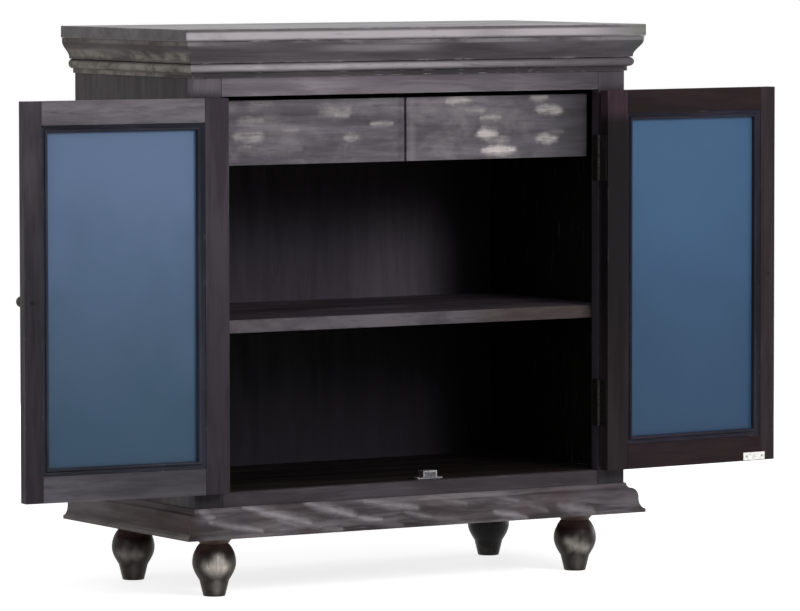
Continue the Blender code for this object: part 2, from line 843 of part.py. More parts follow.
def add_catch(steel, grey):
    """The magnetic catch: a case with two ears on the bottom board, and a magnet that floats inside it."""
    base = opening_bottom + seat_gap
    poles_front = front_y + door_thickness + 2 * seat_gap + strike_thickness + magnet_travel
    case_front = poles_front + pole_lead
    case_half = catch_case_width / 2
    ear_half = case_half + catch_ear_width
    outline = [
        (-ear_half, base),
        (ear_half, base),
        (ear_half, base + catch_ear_thickness),
        (case_half, base + catch_ear_thickness),
        (case_half, base + catch_case_height),
        (-case_half, base + catch_case_height),
        (-case_half, base + catch_ear_thickness),
        (-ear_half, base + catch_ear_thickness),
    ]
    outline = [(catch_offset + x, z) for x, z in outline]
    case = prism_mesh("catch_case", outline, "Y", case_front, case_front + catch_case_depth)
    pocket_half = case_half - catch_case_wall
    pocket_low = base + catch_case_wall
    pocket_high = base + catch_case_height - catch_case_wall
    pocket_end = poles_front + magnet_length + magnet_clearance
    low = (catch_offset - pocket_half, case_front - cut_overrun, pocket_low)
    high = (catch_offset + pocket_half, pocket_end, pocket_high)
    add_object("catch_case", cut_mesh(case, [box_mesh("catch_pocket", low, high)]), steel)

    pivot = add_pivot("catch_magnet_slide", (catch_offset, poles_front, (pocket_low + pocket_high) / 2))
    pole_end = (pocket_high - pocket_low) / 2 - magnet_clearance
    block_end = pole_end - pole_thickness
    section = [
        (0, -pole_end),
        (magnet_length, -pole_end),
        (magnet_length, pole_end),
        (0, pole_end),
        (0, block_end),
        (pole_lead, block_end),
        (pole_lead, -block_end),
        (0, -block_end),
    ]
    half = pocket_half - magnet_clearance
    add_object("catch_magnet", prism_mesh("catch_magnet", section, "X", -half, half), grey, pivot)


def add_runners(material):
    """L-shaped runners at the sides and a T-shaped one in the middle, which carry and guide the drawers."""
    top = drawer_box_bottom - seat_gap
    for label, side in (("left", -1), ("right", 1)):
        name = f"drawer_runner_{label}"
        outline = [
            (guide_inner_x - runner_ledge, top - runner_thickness),
            (side_inner_x - seat_gap, top - runner_thickness),
            (side_inner_x - seat_gap, top + guide_height),
            (guide_inner_x, top + guide_height),
            (guide_inner_x, top),
            (guide_inner_x - runner_ledge, top),
        ]
        points = [(side * x, z) for x, z in outline]
        add_object(name, prism_mesh(name, points, "Y", runner_front_y, boards_back_y), material)
    web = divider_thickness / 2
    flange = web + guide_clearance + runner_ledge
    high = top_underside - seat_gap
    outline = [
        (-flange, top - runner_thickness),
        (flange, top - runner_thickness),
        (flange, top),
        (web, top),
        (web, high),
        (-web, high),
        (-web, top),
        (-flange, top),
    ]
    mesh = prism_mesh("drawer_runner_centre", outline, "Y", runner_front_y, boards_back_y)
    add_object("drawer_runner_centre", mesh, material)


def drawer_side_mesh(name, outer, inner, front, back):
    """A drawer's side from its outer face to its inner one, grooved for the bottom."""
    low = drawer_box_bottom
    high = drawer_top - drawer_box_drop
    groove_low = low + drawer_bottom_height - seat_gap
    groove_high = groove_low + drawer_bottom_thickness + 2 * seat_gap
    groove_floor = inner + math.copysign(drawer_groove_depth, outer - inner)
    outline = [
        (outer, low),
        (inner, low),
        (inner, groove_low),
        (groove_floor, groove_low),
        (groove_floor, groove_high),
        (inner, groove_high),
        (inner, high),
        (outer, high),
    ]
    return prism_mesh(name, outline, "Y", front, back)


def add_drawer(side, face, wood):
    """A drawer, shut: front, two sides, back and bottom, on an empty that slides with it."""
    label = "left" if side < 0 else "right"
    prefix = f"drawer_{label}_"
    pivot = add_pivot(prefix + "slide", (0, inner_front_y, 0))
    front_back = drawer_front_thickness
    box_front = front_back + seat_gap
    box_back = boards_back_y - drawer_back_gap - inner_front_y
    inner_near = drawer_box_start + drawer_side_thickness
    inner_far = drawer_end - drawer_side_thickness
    bottom_low = drawer_box_bottom + drawer_bottom_height
    bottom_high = bottom_low + drawer_bottom_thickness

    ends = sorted((side * drawer_middle_gap / 2, side * drawer_end))
    front = box_mesh(prefix + "front", (ends[0], 0, drawer_bottom), (ends[1], front_back, drawer_top))
    bottom_hold = drawer_groove_depth - seat_gap
    groove_ends = sorted((side * (inner_near - drawer_groove_depth), side * (inner_far + drawer_groove_depth)))
    groove = box_mesh(
        prefix + "groove",
        (groove_ends[0], front_back - drawer_groove_depth, bottom_low - seat_gap),
        (groove_ends[1], front_back + cut_overrun, bottom_high + seat_gap),
    )
    add_object(prefix + "front", cut_mesh(front, [groove]), face, pivot)

    walls = (("inner_side", drawer_box_start, inner_near), ("outer_side", drawer_end, inner_far))
    for suffix, outer, inner in walls:
        mesh = drawer_side_mesh(prefix + suffix, side * outer, side * inner, box_front, box_back)
        add_object(prefix + suffix, mesh, wood, pivot)

    ends = sorted((side * (inner_near + seat_gap), side * (inner_far - seat_gap)))
    back_low = (ends[0], box_back - drawer_side_thickness, bottom_high + seat_gap)
    back_high = (ends[1], box_back, drawer_top - drawer_box_drop)
    add_object(prefix + "back", box_mesh(prefix + "back", back_low, back_high), wood, pivot)

    ends = sorted((side * (inner_near - bottom_hold), side * (inner_far + bottom_hold)))
    low = (ends[0], front_back - bottom_hold, bottom_low)
    high = (ends[1], box_back, bottom_high)
    add_object(prefix + "bottom", box_mesh(prefix + "bottom", low, high), wood, pivot)


def build():
    """The whole cabinet."""
    clear_scene()
    worn = worn_wood()
    inner = inner_wood()
    door = door_wood()
    paint = blue_paint()
    steel = hinge_steel()
    iron = knob_iron()
    grey = magnet_grey()

    add_top_board(worn)
    add_mouldings("cornice", cornice_outline(), top_underside - seat_gap, worn)
    add_mouldings("plinth", plinth_outline(), plinth_top, worn)
    for side in (-1, 1):
        add_side_panel(side, worn)
        add_frame_stile(side, worn)
    add_frame_rail("frame_top_rail", opening_top, top_underside - seat_gap, worn)
    add_frame_rail("frame_bottom_rail", foot_height, opening_bottom, worn)
    add_boards(inner)
    add_feet(worn)
    add_runners(inner)
    add_catch(steel, grey)
    for side in (-1, 1):
        pivot = add_door(side, door, paint, steel, iron)
        add_drawer(side, worn, inner)
        if side > 0:
            add_strike_plate(pivot, steel)


build()
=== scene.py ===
"""Looks for the two-door cabinet: worn dark wood, blue panels, steel hinges and turned feet.

Everything is in metres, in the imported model's own frame: +X to the right of someone who faces the
cabinet, +Y to its back, +Z up. The doors are drawn as they rest, folded back over the face frame.
"""

import fnmatch
import math
from functools import partial, reduce
from types import SimpleNamespace

import bmesh
import bpy
import numpy as np
from mathutils import Matrix, Vector

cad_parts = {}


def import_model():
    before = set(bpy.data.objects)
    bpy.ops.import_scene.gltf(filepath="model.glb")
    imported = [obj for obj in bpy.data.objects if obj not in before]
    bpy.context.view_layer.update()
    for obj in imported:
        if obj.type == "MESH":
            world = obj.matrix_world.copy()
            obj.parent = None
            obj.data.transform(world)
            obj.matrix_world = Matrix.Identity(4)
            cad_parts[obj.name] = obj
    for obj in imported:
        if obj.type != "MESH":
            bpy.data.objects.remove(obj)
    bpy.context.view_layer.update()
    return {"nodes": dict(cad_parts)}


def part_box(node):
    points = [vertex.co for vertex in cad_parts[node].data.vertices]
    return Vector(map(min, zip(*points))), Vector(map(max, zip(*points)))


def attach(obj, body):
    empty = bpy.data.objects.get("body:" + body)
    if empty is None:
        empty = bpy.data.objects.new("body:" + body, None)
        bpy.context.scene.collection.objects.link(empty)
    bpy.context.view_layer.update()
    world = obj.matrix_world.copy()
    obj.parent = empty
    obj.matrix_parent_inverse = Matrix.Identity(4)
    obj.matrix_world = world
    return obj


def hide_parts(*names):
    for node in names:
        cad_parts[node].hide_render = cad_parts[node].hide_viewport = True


# The body's faces, the gap that new pieces keep, and the doors as measured from their pins
body_half_width = 0.411
body_front_y = -0.186
body_back_y = 0.2125
body_bottom = 0.099
seat_gap = 0.0003
pin_x = 0.3583
pin_y = -0.1895
pin_proud = 0.0035
door_open_angle = math.radians(184)
door_inner = 0.0235
door_far = 0.3568
panel_inner = 0.0135
panel_outer = 0.0085
panel_edges = (0.0432, 0.3268, 0.214, 0.7665)
catch_offset = 0.046

# Cornice section, from the top down
cornice_top = 0.8942
cornice_lip = 0.024
lip_height = 0.0055
ogee_height = 0.0275
neck_projection = 0.0105
neck_height = 0.0015
bead_radius = 0.008
bead_projection = 0.012
cornice_foot = 0.0035
cornice_height = 0.058

# Plinth section, from the top down
plinth_top = 0.1475
plinth_ledge = 0.003
hollow = (0.009, 0.0085)
ovolo = (0.018, 0.023)
plinth_quirk = 0.002
plinth_projection = 0.0265
plinth_toe = 0.006
plinth_height = 0.0485

# Moulding round the door panels
stick_width = 0.012
stick_edge = 0.0085
stick_hollow = 0.0055
stick_roll = 0.0028
mitre_gap = 0.0001

# Feet, from the ball, taper and neck to the square block above
foot_centres = ((-0.347, -0.1345), (0.347, -0.1345), (-0.347, 0.137), (0.347, 0.137))
foot_names = ("front_left", "front_right", "back_left", "back_right")
foot_block = (0.031, 0.1522)
toe_radius = 0.018
foot_taper = (0.024, 0.0255)
ball = (0.0355, 0.054, 0.041)
foot_neck_radius = 0.0232
collar = (0.0315, 0.0035)
foot_edge = 0.0008

# Knobs, from the door outwards
rose = (0.0075, 0.003)
stem = (0.0045, 0.013)
knob_head = (0.009, 0.015)
rose_edge = 0.0009
stem_waist = 0.0007
knob_edge_distance = 0.0135
knob_height = 0.48825

# Hinge leaves and how their screws lie
hinge_heights = (0.284, 0.6925)
leaf_face = 0.0002
leaf_middle = 0.0119
leaf_screw_pitch = 0.0265
leaf_screw_stagger = 0.0022
leaf_screw_turns = (0.4, 2.9, 3.1)

# Screw heads, as radius, rise and how far they are domed
leaf_screw = (0.0027, 0.00013)
knob_screw = (0.0038, 0.0011, 0.0022)
catch_screw = (0.0024, 0.0009, 0.6)
strike_screw = (0.0022, 0.0003)

# Where the screws of the catch and the strike plate sit
catch_ear = (0.0185, 0.0022)
strike_screw_offset = 0.0165
strike_thickness = 0.0015
strike_height = 0.1797

# Fineness of the turned and moulded shapes
turning_steps = 72
curve_steps = 14
head_steps = 17
smooth_angle = math.radians(32)
square_corners = ((-1, -1), (1, -1), (1, 1), (-1, 1))


# Surfaces


def surface(name, grid, place=Matrix()):
    """A closed mesh over points in a grid of (stations, points round a section), moved to its place.

    Each point joins its neighbour round the section and at the next station. The first and the
    last station are closed by a flat face.
    """
    stations, around = grid.shape[:2]
    index = np.arange(stations * around).reshape(stations, around)
    here, ahead = index[:-1], index[1:]
    cells = np.stack([here, np.roll(here, -1, axis=1), np.roll(ahead, -1, axis=1), ahead], axis=-1)
    mesh = bpy.data.meshes.new(name)
    faces = cells.reshape(-1, 4).tolist() + [index[0].tolist(), index[-1].tolist()]
    mesh.from_pydata(grid.reshape(-1, 3).tolist(), [], faces)
    mesh.transform(place)
    return mesh


def joined(name, meshes):
    """One mesh of several closed shells, with every face turned outwards and round faces shaded smooth."""
    form = bmesh.new()
    for part in meshes:
        form.from_mesh(part)
    bmesh.ops.recalc_face_normals(form, faces=form.faces)
    mesh = bpy.data.meshes.new(name)
    form.to_mesh(mesh)
    form.free()
    for part in meshes:
        bpy.data.meshes.remove(part)
    mesh.shade_smooth()
    mesh.set_sharp_from_angle(angle=smooth_angle)
    return mesh


def add_object(name, data):
    """An object put into the scene."""
    made = bpy.data.objects.new(name, data)
    bpy.context.scene.collection.objects.link(made)
    return made


def add_piece(name, meshes, material, body, slot, *nodes):
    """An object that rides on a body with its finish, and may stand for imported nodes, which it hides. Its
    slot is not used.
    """
    piece = add_object(name, joined(name, meshes))
    piece.data.materials.append(material)
    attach(piece, body)
    if nodes:
        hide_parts(*nodes)


def quarter(start, end, bulges):
    """Points of a quarter ellipse: sine one way, one less cosine the other way, swapped when hollow."""
    turn = np.linspace(0, math.pi / 2, curve_steps + 1)
    across, down = np.sin(turn), 1 - np.cos(turn)
    if not bulges:
        across, down = down, across
    start, end = np.array(start), np.array(end)
    return start + np.stack([across, down], axis=1) * (end - start)


def double_curve(start, end):
    """Points of an S-shaped curve that leaves both corners upright: half a cosine wave."""
    share = np.linspace(0, 1, 2 * curve_steps + 1)
    across = (1 - np.cos(math.pi * share)) / 2
    start, end = np.array(start), np.array(end)
    return start + np.stack([across, share], axis=1) * (end - start)


def cornice_section():
    """(projection, drop) round the cornice: lip, ogee, neck, a half-round bead and a fillet."""
    ogee_end = lip_height + ogee_height
    bead_start = ogee_end + neck_height
    turn = np.linspace(0, math.pi, 2 * curve_steps + 1)
    bead_out = bead_projection - bead_radius + bead_radius * np.sin(turn)
    bead_drop = bead_start + bead_radius * (1 - np.cos(turn))
    return np.concatenate([
        [(seat_gap, 0), (cornice_lip, 0)],
        double_curve((cornice_lip, lip_height), (neck_projection, ogee_end)),
        [(neck_projection, bead_start)],
        np.stack([bead_out, bead_drop], axis=1),
        [(cornice_foot, bead_drop[-1]), (cornice_foot, cornice_height), (seat_gap, cornice_height)],
    ])


def plinth_section():
    """(projection, drop) round the plinth: ledge, hollow, ovolo, quirk, a hollow flare and a square toe."""
    flare_start = (ovolo[0], ovolo[1] + plinth_quirk)
    flare_end = (plinth_projection, plinth_height - plinth_toe)
    return np.concatenate([
        [(seat_gap, 0)],
        quarter((plinth_ledge, 0), hollow, False),
        quarter(hollow, ovolo, True)[1:],
        quarter(flare_start, flare_end, False),
        [(plinth_projection, plinth_height), (seat_gap, plinth_height)],
    ])


def moulding_run(name, section, top, run):
    """The section carried along the front (run 0), the left side (-1) or the right side (1), mitred."""
    out, drop = section[:, 0], section[:, 1]
    height = top - drop
    gap = seat_gap / math.sqrt(2)
    if run == 0:
        reach = body_half_width + out - gap
        ends = [np.stack([side * reach, body_front_y - out, height], axis=1) for side in (-1, 1)]
    else:
        side = run * (body_half_width + out)
        front = np.stack([side, body_front_y - out + gap, height], axis=1)
        back = np.stack([side, np.full_like(out, body_back_y), height], axis=1)
        ends = [front, back]
    return surface(name, np.array(ends))


def add_mouldings(prefix, section, top, front, side):
    """The three lengths of a moulding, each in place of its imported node."""
    for label, run, finish in (("front", 0, front), ("left", -1, side), ("right", 1, side)):
        name = f"{prefix}_{label}"
        mesh = moulding_run(name, section, top, run)
        add_piece(name + "_moulding", [mesh], finish, "cabinet", "worn_wood", name)


def turned(name, profile, place):
    """A turned shape in its place: each (radius, height) of the profile becomes a ring of points."""
    turn = np.linspace(0, 2 * math.pi, turning_steps, endpoint=False)
    radius, height = profile[:, :1], profile[:, 1:]
    grid = np.stack([radius * np.cos(turn), radius * np.sin(turn), height + 0 * turn], axis=-1)
    return surface(name, grid, place)


def foot_profile():
    """(radius, height) up a foot: taper, ball with a sine swell, straight flare and collar."""
    share = np.linspace(0, 1, 2 * curve_steps)[:-1]
    swell = foot_taper[0] + (ball[0] - foot_taper[0]) * np.sin(math.pi / 2 * share)
    lower = np.stack([swell, foot_taper[1] + (ball[1] - foot_taper[1]) * share], axis=1)
    turn = np.linspace(0, math.acos(foot_neck_radius / ball[0]), 2 * curve_steps)
    crown = np.stack([ball[0] * np.cos(turn), ball[1] + ball[2] * np.sin(turn)], axis=1)
    return np.concatenate([
        [(toe_radius - foot_edge, 0), (toe_radius, foot_edge)],
        lower,
        crown,
        [(collar[0], body_bottom - collar[1])],
        [(collar[0], body_bottom - foot_edge), (collar[0] - foot_edge, body_bottom)],
    ])


def add_feet(material, hidden):
    """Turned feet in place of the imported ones, each with its square block above."""
    for label, (x, y) in zip(foot_names, foot_centres):
        node = "foot_" + label
        foot = turned(node, foot_profile(), Matrix.Translation((x, y, 0)))
        add_piece(node + "_turning", [foot], material, "cabinet", "worn_wood", node)
        half, top = foot_block
        square = np.array(square_corners) * half + (x, y)
        ends = [np.column_stack([square, np.full(4, z)]) for z in (body_bottom, top)]
        add_piece(node + "_block", [surface(node, np.array(ends))], hidden, "cabinet", "worn_wood", node)


def door_place(side):
    """Takes a point of the shut door, measured from its pin, to where it is with the door folded back."""
    return Matrix.Translation((side * pin_x, pin_y, 0)) @ Matrix.Rotation(side * door_open_angle, 4, "Z")


def stick_section():
    """(distance in, height) over the panel: a square back, a shallow hollow and a roll at the inner edge."""
    centre = stick_width - stick_roll
    share = np.linspace(0, 1, curve_steps + 1)
    inwards = 2 * seat_gap + (centre - stick_roll - 2 * seat_gap) * share
    dip = stick_edge - (stick_edge - stick_hollow) * np.sin(math.pi / 2 * share)
    turn = np.linspace(0, math.pi, curve_steps + 1)[1:]
    roll_height = stick_edge - stick_roll * (1 - np.sin(turn))
    return np.concatenate([
        [(seat_gap, seat_gap), (seat_gap, stick_edge)],
        np.stack([inwards, dip], axis=1),
        np.stack([centre - stick_roll * np.cos(turn), roll_height], axis=1),
        [(stick_width, seat_gap)],
    ])


def stick(name, side, which):
    """One mitred stick of the panel moulding: its section carried from one corner to the next.

    Each point of the section is set in from the panel's edges by its own distance.
    """
    near, far, low, high = panel_edges
    inset, rise = stick_section().T
    mitre = inset + mitre_gap
    if which in ("hinge", "free"):
        x = near + inset if which == "hinge" else far - inset
        ends = ((x, low + mitre), (x, high - mitre))
    else:
        z = low + inset if which == "lower" else high - inset
        ends = ((near + mitre, z), (far - mitre, z))
    grid = [np.stack([-side * x, panel_inner + rise, z], axis=1) for x, z in ends]
    return surface(name, np.array(grid), door_place(side))


def knob_profile():
    """(radius, height) from the door outwards: rose with a rounded edge, waisted stem and rounded head."""
    turn = np.linspace(0, math.pi / 2, 6)
    rim_radius = rose[0] - rose_edge * (1 - np.cos(turn))
    rim_height = seat_gap + rose[1] / 2 - rose_edge * (1 - np.sin(turn))
    stem_start = seat_gap + rose[1]
    share = np.linspace(0, 1, 10)
    waist = stem[0] - stem_waist * np.sin(math.pi * share)
    turn = np.linspace(0, math.pi, 4 * curve_steps)[1:-1]
    swell = np.sin(turn)
    head = np.where(turn > math.pi / 2, knob_head[0] * swell, stem[0] + (knob_head[0] - stem[0]) * swell)
    head_height = stem_start + stem[1] + knob_head[1] * (1 - np.cos(turn)) / 2
    return np.concatenate([
        [(rose[0], seat_gap)],
        np.stack([rim_radius, rim_height], axis=1),
        np.stack([waist, stem_start + stem[1] * share], axis=1),
        np.stack([head, head_height], axis=1),
    ])


def add_knob(side, label, iron, steel):
    """A door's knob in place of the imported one, and the head of its fixing screw on the inner side."""
    x = -side * (door_far - knob_edge_distance)
    body = f"door_{label}"
    place = door_place(side) @ Matrix.Translation((x, pin_proud, knob_height))
    knob = turned("knob", knob_profile(), place @ Matrix.Rotation(math.pi / 2, 4, "X"))
    add_piece(body + "_turned_knob", [knob], iron, body, "knob_iron", body + "_knob")
    place = door_place(side) @ Matrix.Translation((x, door_inner, knob_height))
    screw = screw_head(place @ Matrix.Rotation(-math.pi / 2, 4, "X"), *knob_screw)
    add_piece(body + "_knob_screw", [screw], steel, body, "hinge_steel")


def screw_head(place, radius, rise, dome=0.0):
    """A slotted screw head in its place, drawn about Z with its seat at zero.

    Sections cross the head at stations along X. Each is a half circle's width, with a top that
    falls off as the square of the distance from the middle, and drops into the slot near X zero.
    """
    slot = radius * 0.17
    lip = radius * 0.015
    outer = np.sin(np.linspace(math.asin((slot + lip) / radius), math.radians(86), 12)) * radius
    x = np.concatenate([-outer[::-1], [-slot, slot], outer])
    in_slot = np.abs(x) <= slot
    half = np.sqrt(radius**2 - x**2)
    share = np.sin(np.linspace(-math.pi / 2, math.pi / 2, head_steps))
    y = half[:, None] * share
    away = (x[:, None] ** 2 + y**2) / radius**2
    top = rise * (1 - 0.35 * away) + dome * rise * (1 - away)
    top = np.where(in_slot[:, None], rise * 0.25, top)
    base_y = half[:, None] * np.array([1, -1])
    base_x = np.repeat(x[:, None], 2, axis=1)
    upper = np.stack([np.repeat(x[:, None], head_steps, axis=1), y, top], axis=-1)
    lower = np.stack([base_x, base_y, 0 * base_x], axis=-1)
    return surface("screw", np.concatenate([upper, lower], axis=1), place)


def add_leaf_screws(side, label, steel):
    """Three flush screws in each hinge leaf, a little out of line, as such leaves are drilled."""
    lean = side * math.pi / 2
    frame_place = Matrix.Translation((side * (pin_x + leaf_face), pin_y, 0))
    leaf_place = door_place(side) @ Matrix.Translation((-side * leaf_face, 0, 0))
    leaves = (("frame", "cabinet", frame_place, -lean), ("door", f"door_{label}", leaf_place, lean))
    for level, height in zip(("lower", "upper"), hinge_heights):
        for leaf, body, place, lean in leaves:
            heads = []
            for number, turn in enumerate(leaf_screw_turns):
                stagger = leaf_screw_stagger if number == 1 else -leaf_screw_stagger
                spot = (0, leaf_middle + stagger, height + (number - 1) * leaf_screw_pitch)
                turns = Matrix.Rotation(lean, 4, "Y") @ Matrix.Rotation(turn, 4, "Z")
                heads.append(screw_head(place @ Matrix.Translation(spot) @ turns, *leaf_screw))
            add_piece(f"hinge_{label}_{level}_{leaf}_screws", heads, steel, body, "hinge_steel")


def add_catch_screws(steel):
    """Two screws through the catch's ears and two through the strike plate."""
    low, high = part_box("catch_case")
    middle = (low + high) / 2
    ears, plate = [], []
    for side in (-1, 1):
        spot = (middle.x + side * catch_ear[0], middle.y, low.z + catch_ear[1])
        ears.append(screw_head(Matrix.Translation(spot), *catch_screw))
        x = catch_offset - pin_x - side * strike_screw_offset
        place = door_place(1) @ Matrix.Translation((x, door_inner + strike_thickness, strike_height))
        plate.append(screw_head(place @ Matrix.Rotation(-math.pi / 2, 4, "X"), *strike_screw))
    add_piece("catch_screws", ears, steel, "cabinet", "hinge_steel")
    add_piece("strike_screws", plate, steel, "door_right", "hinge_steel")


# Node helpers

unit = (1, 1, 1)
nought = (0, 0, 0)


def feed(socket, value):
    """Links an input to another socket, or sets it to a value."""
    if isinstance(value, bpy.types.NodeSocket):
        socket.id_data.links.new(value, socket)
    else:
        socket.default_value = value


def add_node(tree, kind, inputs=None, **settings):
    """A node with its settings, and its inputs linked or set."""
    made = tree.nodes.new(kind)
    for key, value in settings.items():
        setattr(made, key, value)
    for key, value in (inputs or {}).items():
        feed(made.inputs[key], value)
    return made


def follow(kind, inputs, **settings):
    """A node in the tree that the sockets among its inputs belong to."""
    tree = next(value.id_data for value in inputs.values() if isinstance(value, bpy.types.NodeSocket))
    return add_node(tree, kind, inputs, **settings)


def calc(operation, *values):
    """The result of a sum on numbers and sockets."""
    return follow("ShaderNodeMath", dict(enumerate(values)), operation=operation).outputs[0]


def product(*values):
    """Numbers and sockets multiplied together."""
    return reduce(partial(calc, "MULTIPLY"), values)


def strongest(*values):
    """The highest of several masks."""
    return reduce(partial(calc, "MAXIMUM"), values)


def vector(operation, *values):
    """The result of a vector sum: a vector, or a number for a length or a dot product."""
    made = follow("ShaderNodeVectorMath", dict(enumerate(values)), operation=operation)
    return made.outputs["Value" if operation in ("LENGTH", "DOT_PRODUCT") else "Vector"]


def ramp(value, low, high, out_low=0.0, out_high=1.0, way="SMOOTHSTEP"):
    """A smooth or even step of a value, from low to high."""
    inputs = {"Value": value, "From Min": low, "From Max": high, "To Min": out_low, "To Max": out_high}
    return follow("ShaderNodeMapRange", inputs, interpolation_type=way).outputs["Result"]


def blended(factor, first, second, way="MIX"):
    """Two colours mixed by a mask."""
    inputs = {0: factor, 6: first, 7: second}
    return follow("ShaderNodeMix", inputs, data_type="RGBA", blend_type=way).outputs[2]


def noise(place, scale, detail=4.0, roughness=0.55, distortion=0.0):
    """Cloudy noise at a place, from zero to one."""
    inputs = {"Vector": place, "Scale": scale, "Detail": detail}
    inputs |= {"Roughness": roughness, "Distortion": distortion}
    return follow("ShaderNodeTexNoise", inputs).outputs["Fac"]


def stretched(place, scale, turn=nought):
    """Coordinates turned and stretched, so that a pattern runs with the fibres."""
    return follow("ShaderNodeMapping", {"Vector": place, "Scale": scale, "Rotation": turn}).outputs["Vector"]


def new_group(name, inputs, *outputs):
    """A shader group with masks as outputs. Its inputs come with a default vector or number."""
    tree = bpy.data.node_groups.new(name, "ShaderNodeTree")
    for label, value in inputs.items():
        kind = "NodeSocketVector" if isinstance(value, tuple) else "NodeSocketFloat"
        tree.interface.new_socket(label, in_out="INPUT", socket_type=kind).default_value = value
    for label in outputs:
        tree.interface.new_socket(label, in_out="OUTPUT", socket_type="NodeSocketFloat")
    start, end = tree.nodes.new("NodeGroupInput"), tree.nodes.new("NodeGroupOutput")
    return start.outputs, end.inputs


def place_group(name, inputs):
    """One use of a shader group in a material, and its outputs."""
    return follow("ShaderNodeGroup", inputs, node_tree=bpy.data.node_groups[name]).outputs


# Effects that several finishes share


def make_grain():
    """Wood fibres: a broad figure, fine streaks and short dark pores, at a place stretched along them."""
    labels = ("Figure", "Streaks", "Pores", "Height")
    given, result = new_group("wood_grain", {"Place": nought}, *labels)
    figure = noise(given["Place"], 9, 5, 0.6, 0.8)
    streaks = noise(given["Place"], 55, 6, 0.65, 0.3)
    pores = ramp(noise(given["Place"], 170, 3, 0.6), 0.6, 0.72)
    height = calc("MULTIPLY_ADD", streaks, 0.6, product(figure, 0.4))
    height = calc("MULTIPLY_ADD", pores, -0.5, height)
    for label, value in zip(labels, (figure, streaks, pores, height)):
        feed(result[label], value)


def make_wear():
    """Wear on the arrises: where the rounded normal leaves the true one, broken up by noise."""
    given, result = new_group("edge_wear", {"Place": nought, "Width": 0.003, "Breakup": 0.5}, "Mask")
    rounded = follow("ShaderNodeBevel", {"Radius": given["Width"]}, samples=6).outputs[0]
    true = add_node(bpy.data.node_groups["edge_wear"], "ShaderNodeNewGeometry").outputs["True Normal"]
    edge = ramp(vector("DOT_PRODUCT", rounded, true), 0.999, 0.93)
    floor, ceiling = (calc("ADD", given["Breakup"], shift) for shift in (-0.1, 0.12))
    kept = ramp(noise(given["Place"], 26, 5, 0.65, 0.5), floor, ceiling, way="LINEAR")
    feed(result["Mask"], product(edge, kept))


def make_patches():
    """Rubbed patches: large cloudy areas broken up by finer scratches along the fibres."""
    given_sockets = {"Place": nought, "Fibres": nought, "Scale": 8.0, "Threshold": 0.55}
    given, result = new_group("rubbed_patches", given_sockets, "Mask")
    broad = noise(given["Place"], given["Scale"], 4, 0.6, 0.4)
    scratches = noise(given["Fibres"], 40, 5, 0.7, 0.2)
    mixed = calc("MULTIPLY_ADD", broad, 0.72, product(scratches, 0.28))
    feed(result["Mask"], ramp(mixed, given["Threshold"], calc("ADD", given["Threshold"], 0.15)))


def make_stroke():
    """A rubbed mark along a line: full at its middle, fading softly to nought past its width.

    The distance is |p - a - t (b - a)|, with t the place along the line from a to b held between
    nought and one. It is divided by the width and by 0.65 + 1.4 t (1 - t), so that the mark tapers.
    Plane keeps or drops each axis of it, and Ragged moves its rim.
    """
    given_sockets = {"Place": nought, "Start": nought, "End": (1, 0, 0), "Plane": unit}
    given_sockets |= {"Width": 0.005, "Ragged": 0.0}
    given, result = new_group("rubbed_stroke", given_sockets, "Mask")
    place, start, end = (vector("MULTIPLY", given[key], given["Plane"]) for key in ("Place", "Start", "End"))
    reach, line = vector("SUBTRACT", place, start), vector("SUBTRACT", end, start)
    along, whole = (vector("DOT_PRODUCT", each, line) for each in (reach, line))
    share = follow("ShaderNodeClamp", {"Value": calc("DIVIDE", along, whole)}).outputs[0]
    nearest = follow("ShaderNodeVectorMath", {0: line, "Scale": share}, operation="SCALE").outputs[0]
    away = calc("DIVIDE", vector("LENGTH", vector("SUBTRACT", reach, nearest)), given["Width"])
    middle = product(share, calc("SUBTRACT", 1.0, share))
    away = calc("DIVIDE", away, calc("MULTIPLY_ADD", middle, 1.4, 0.65))
    full = ramp(calc("ADD", away, given["Ragged"]), 2.0, -0.3)
    feed(result["Mask"], product(full, full))


# Masks over a finish


def axis_value(site, axis):
    """One coordinate of the place on the piece."""
    return follow("ShaderNodeSeparateXYZ", {0: site.place}).outputs[axis]


def rise(axis, start, end, strength=1.0):
    """Nought before start and full after end along an axis. Swapped ends make it fall."""
    return lambda site: ramp(axis_value(site, axis), start, end, 0.0, strength)


def strip(axis, low, high, soft, strength=1.0):
    """Full between two coordinates, with soft edges."""
    return both(rise(axis, low - soft, low + soft, strength), rise(axis, high + soft, high - soft))


def near_outer_face(side, depth, soft=0.0005):
    """Full where a place on a door is nearer to the plane of its pin than a depth: on its outer side."""
    rest = door_place(side)
    across = rest.to_3x3() @ Vector((0, 1, 0))
    start = across.dot(rest.translation)

    def mask(site):
        away = calc("SUBTRACT", vector("DOT_PRODUCT", site.place, across), start)
        return ramp(away, depth + soft, depth - soft)

    return mask


def between_sides(half):
    """Full where the distance from the middle plane is less than a half width."""
    return lambda site: calc("LESS_THAN", calc("ABSOLUTE", axis_value(site, "X")), half)


def both(*masks):
    """Where all the masks are set."""
    return lambda site: product(*(mask(site) for mask in masks))


def without(other):
    """Full where another mask is not set."""
    return lambda site: calc("SUBTRACT", 1.0, other(site))


def broken(scale, low, high, floor=0.0, stretch=unit, turn=nought):
    """Cloudy gaps, to break up another mask. Turned and stretched, they become slanting streaks."""

    def mask(site):
        return ramp(noise(stretched(site.place, stretch, turn), scale, 4, 0.6, 0.3), low, high, floor)

    return mask


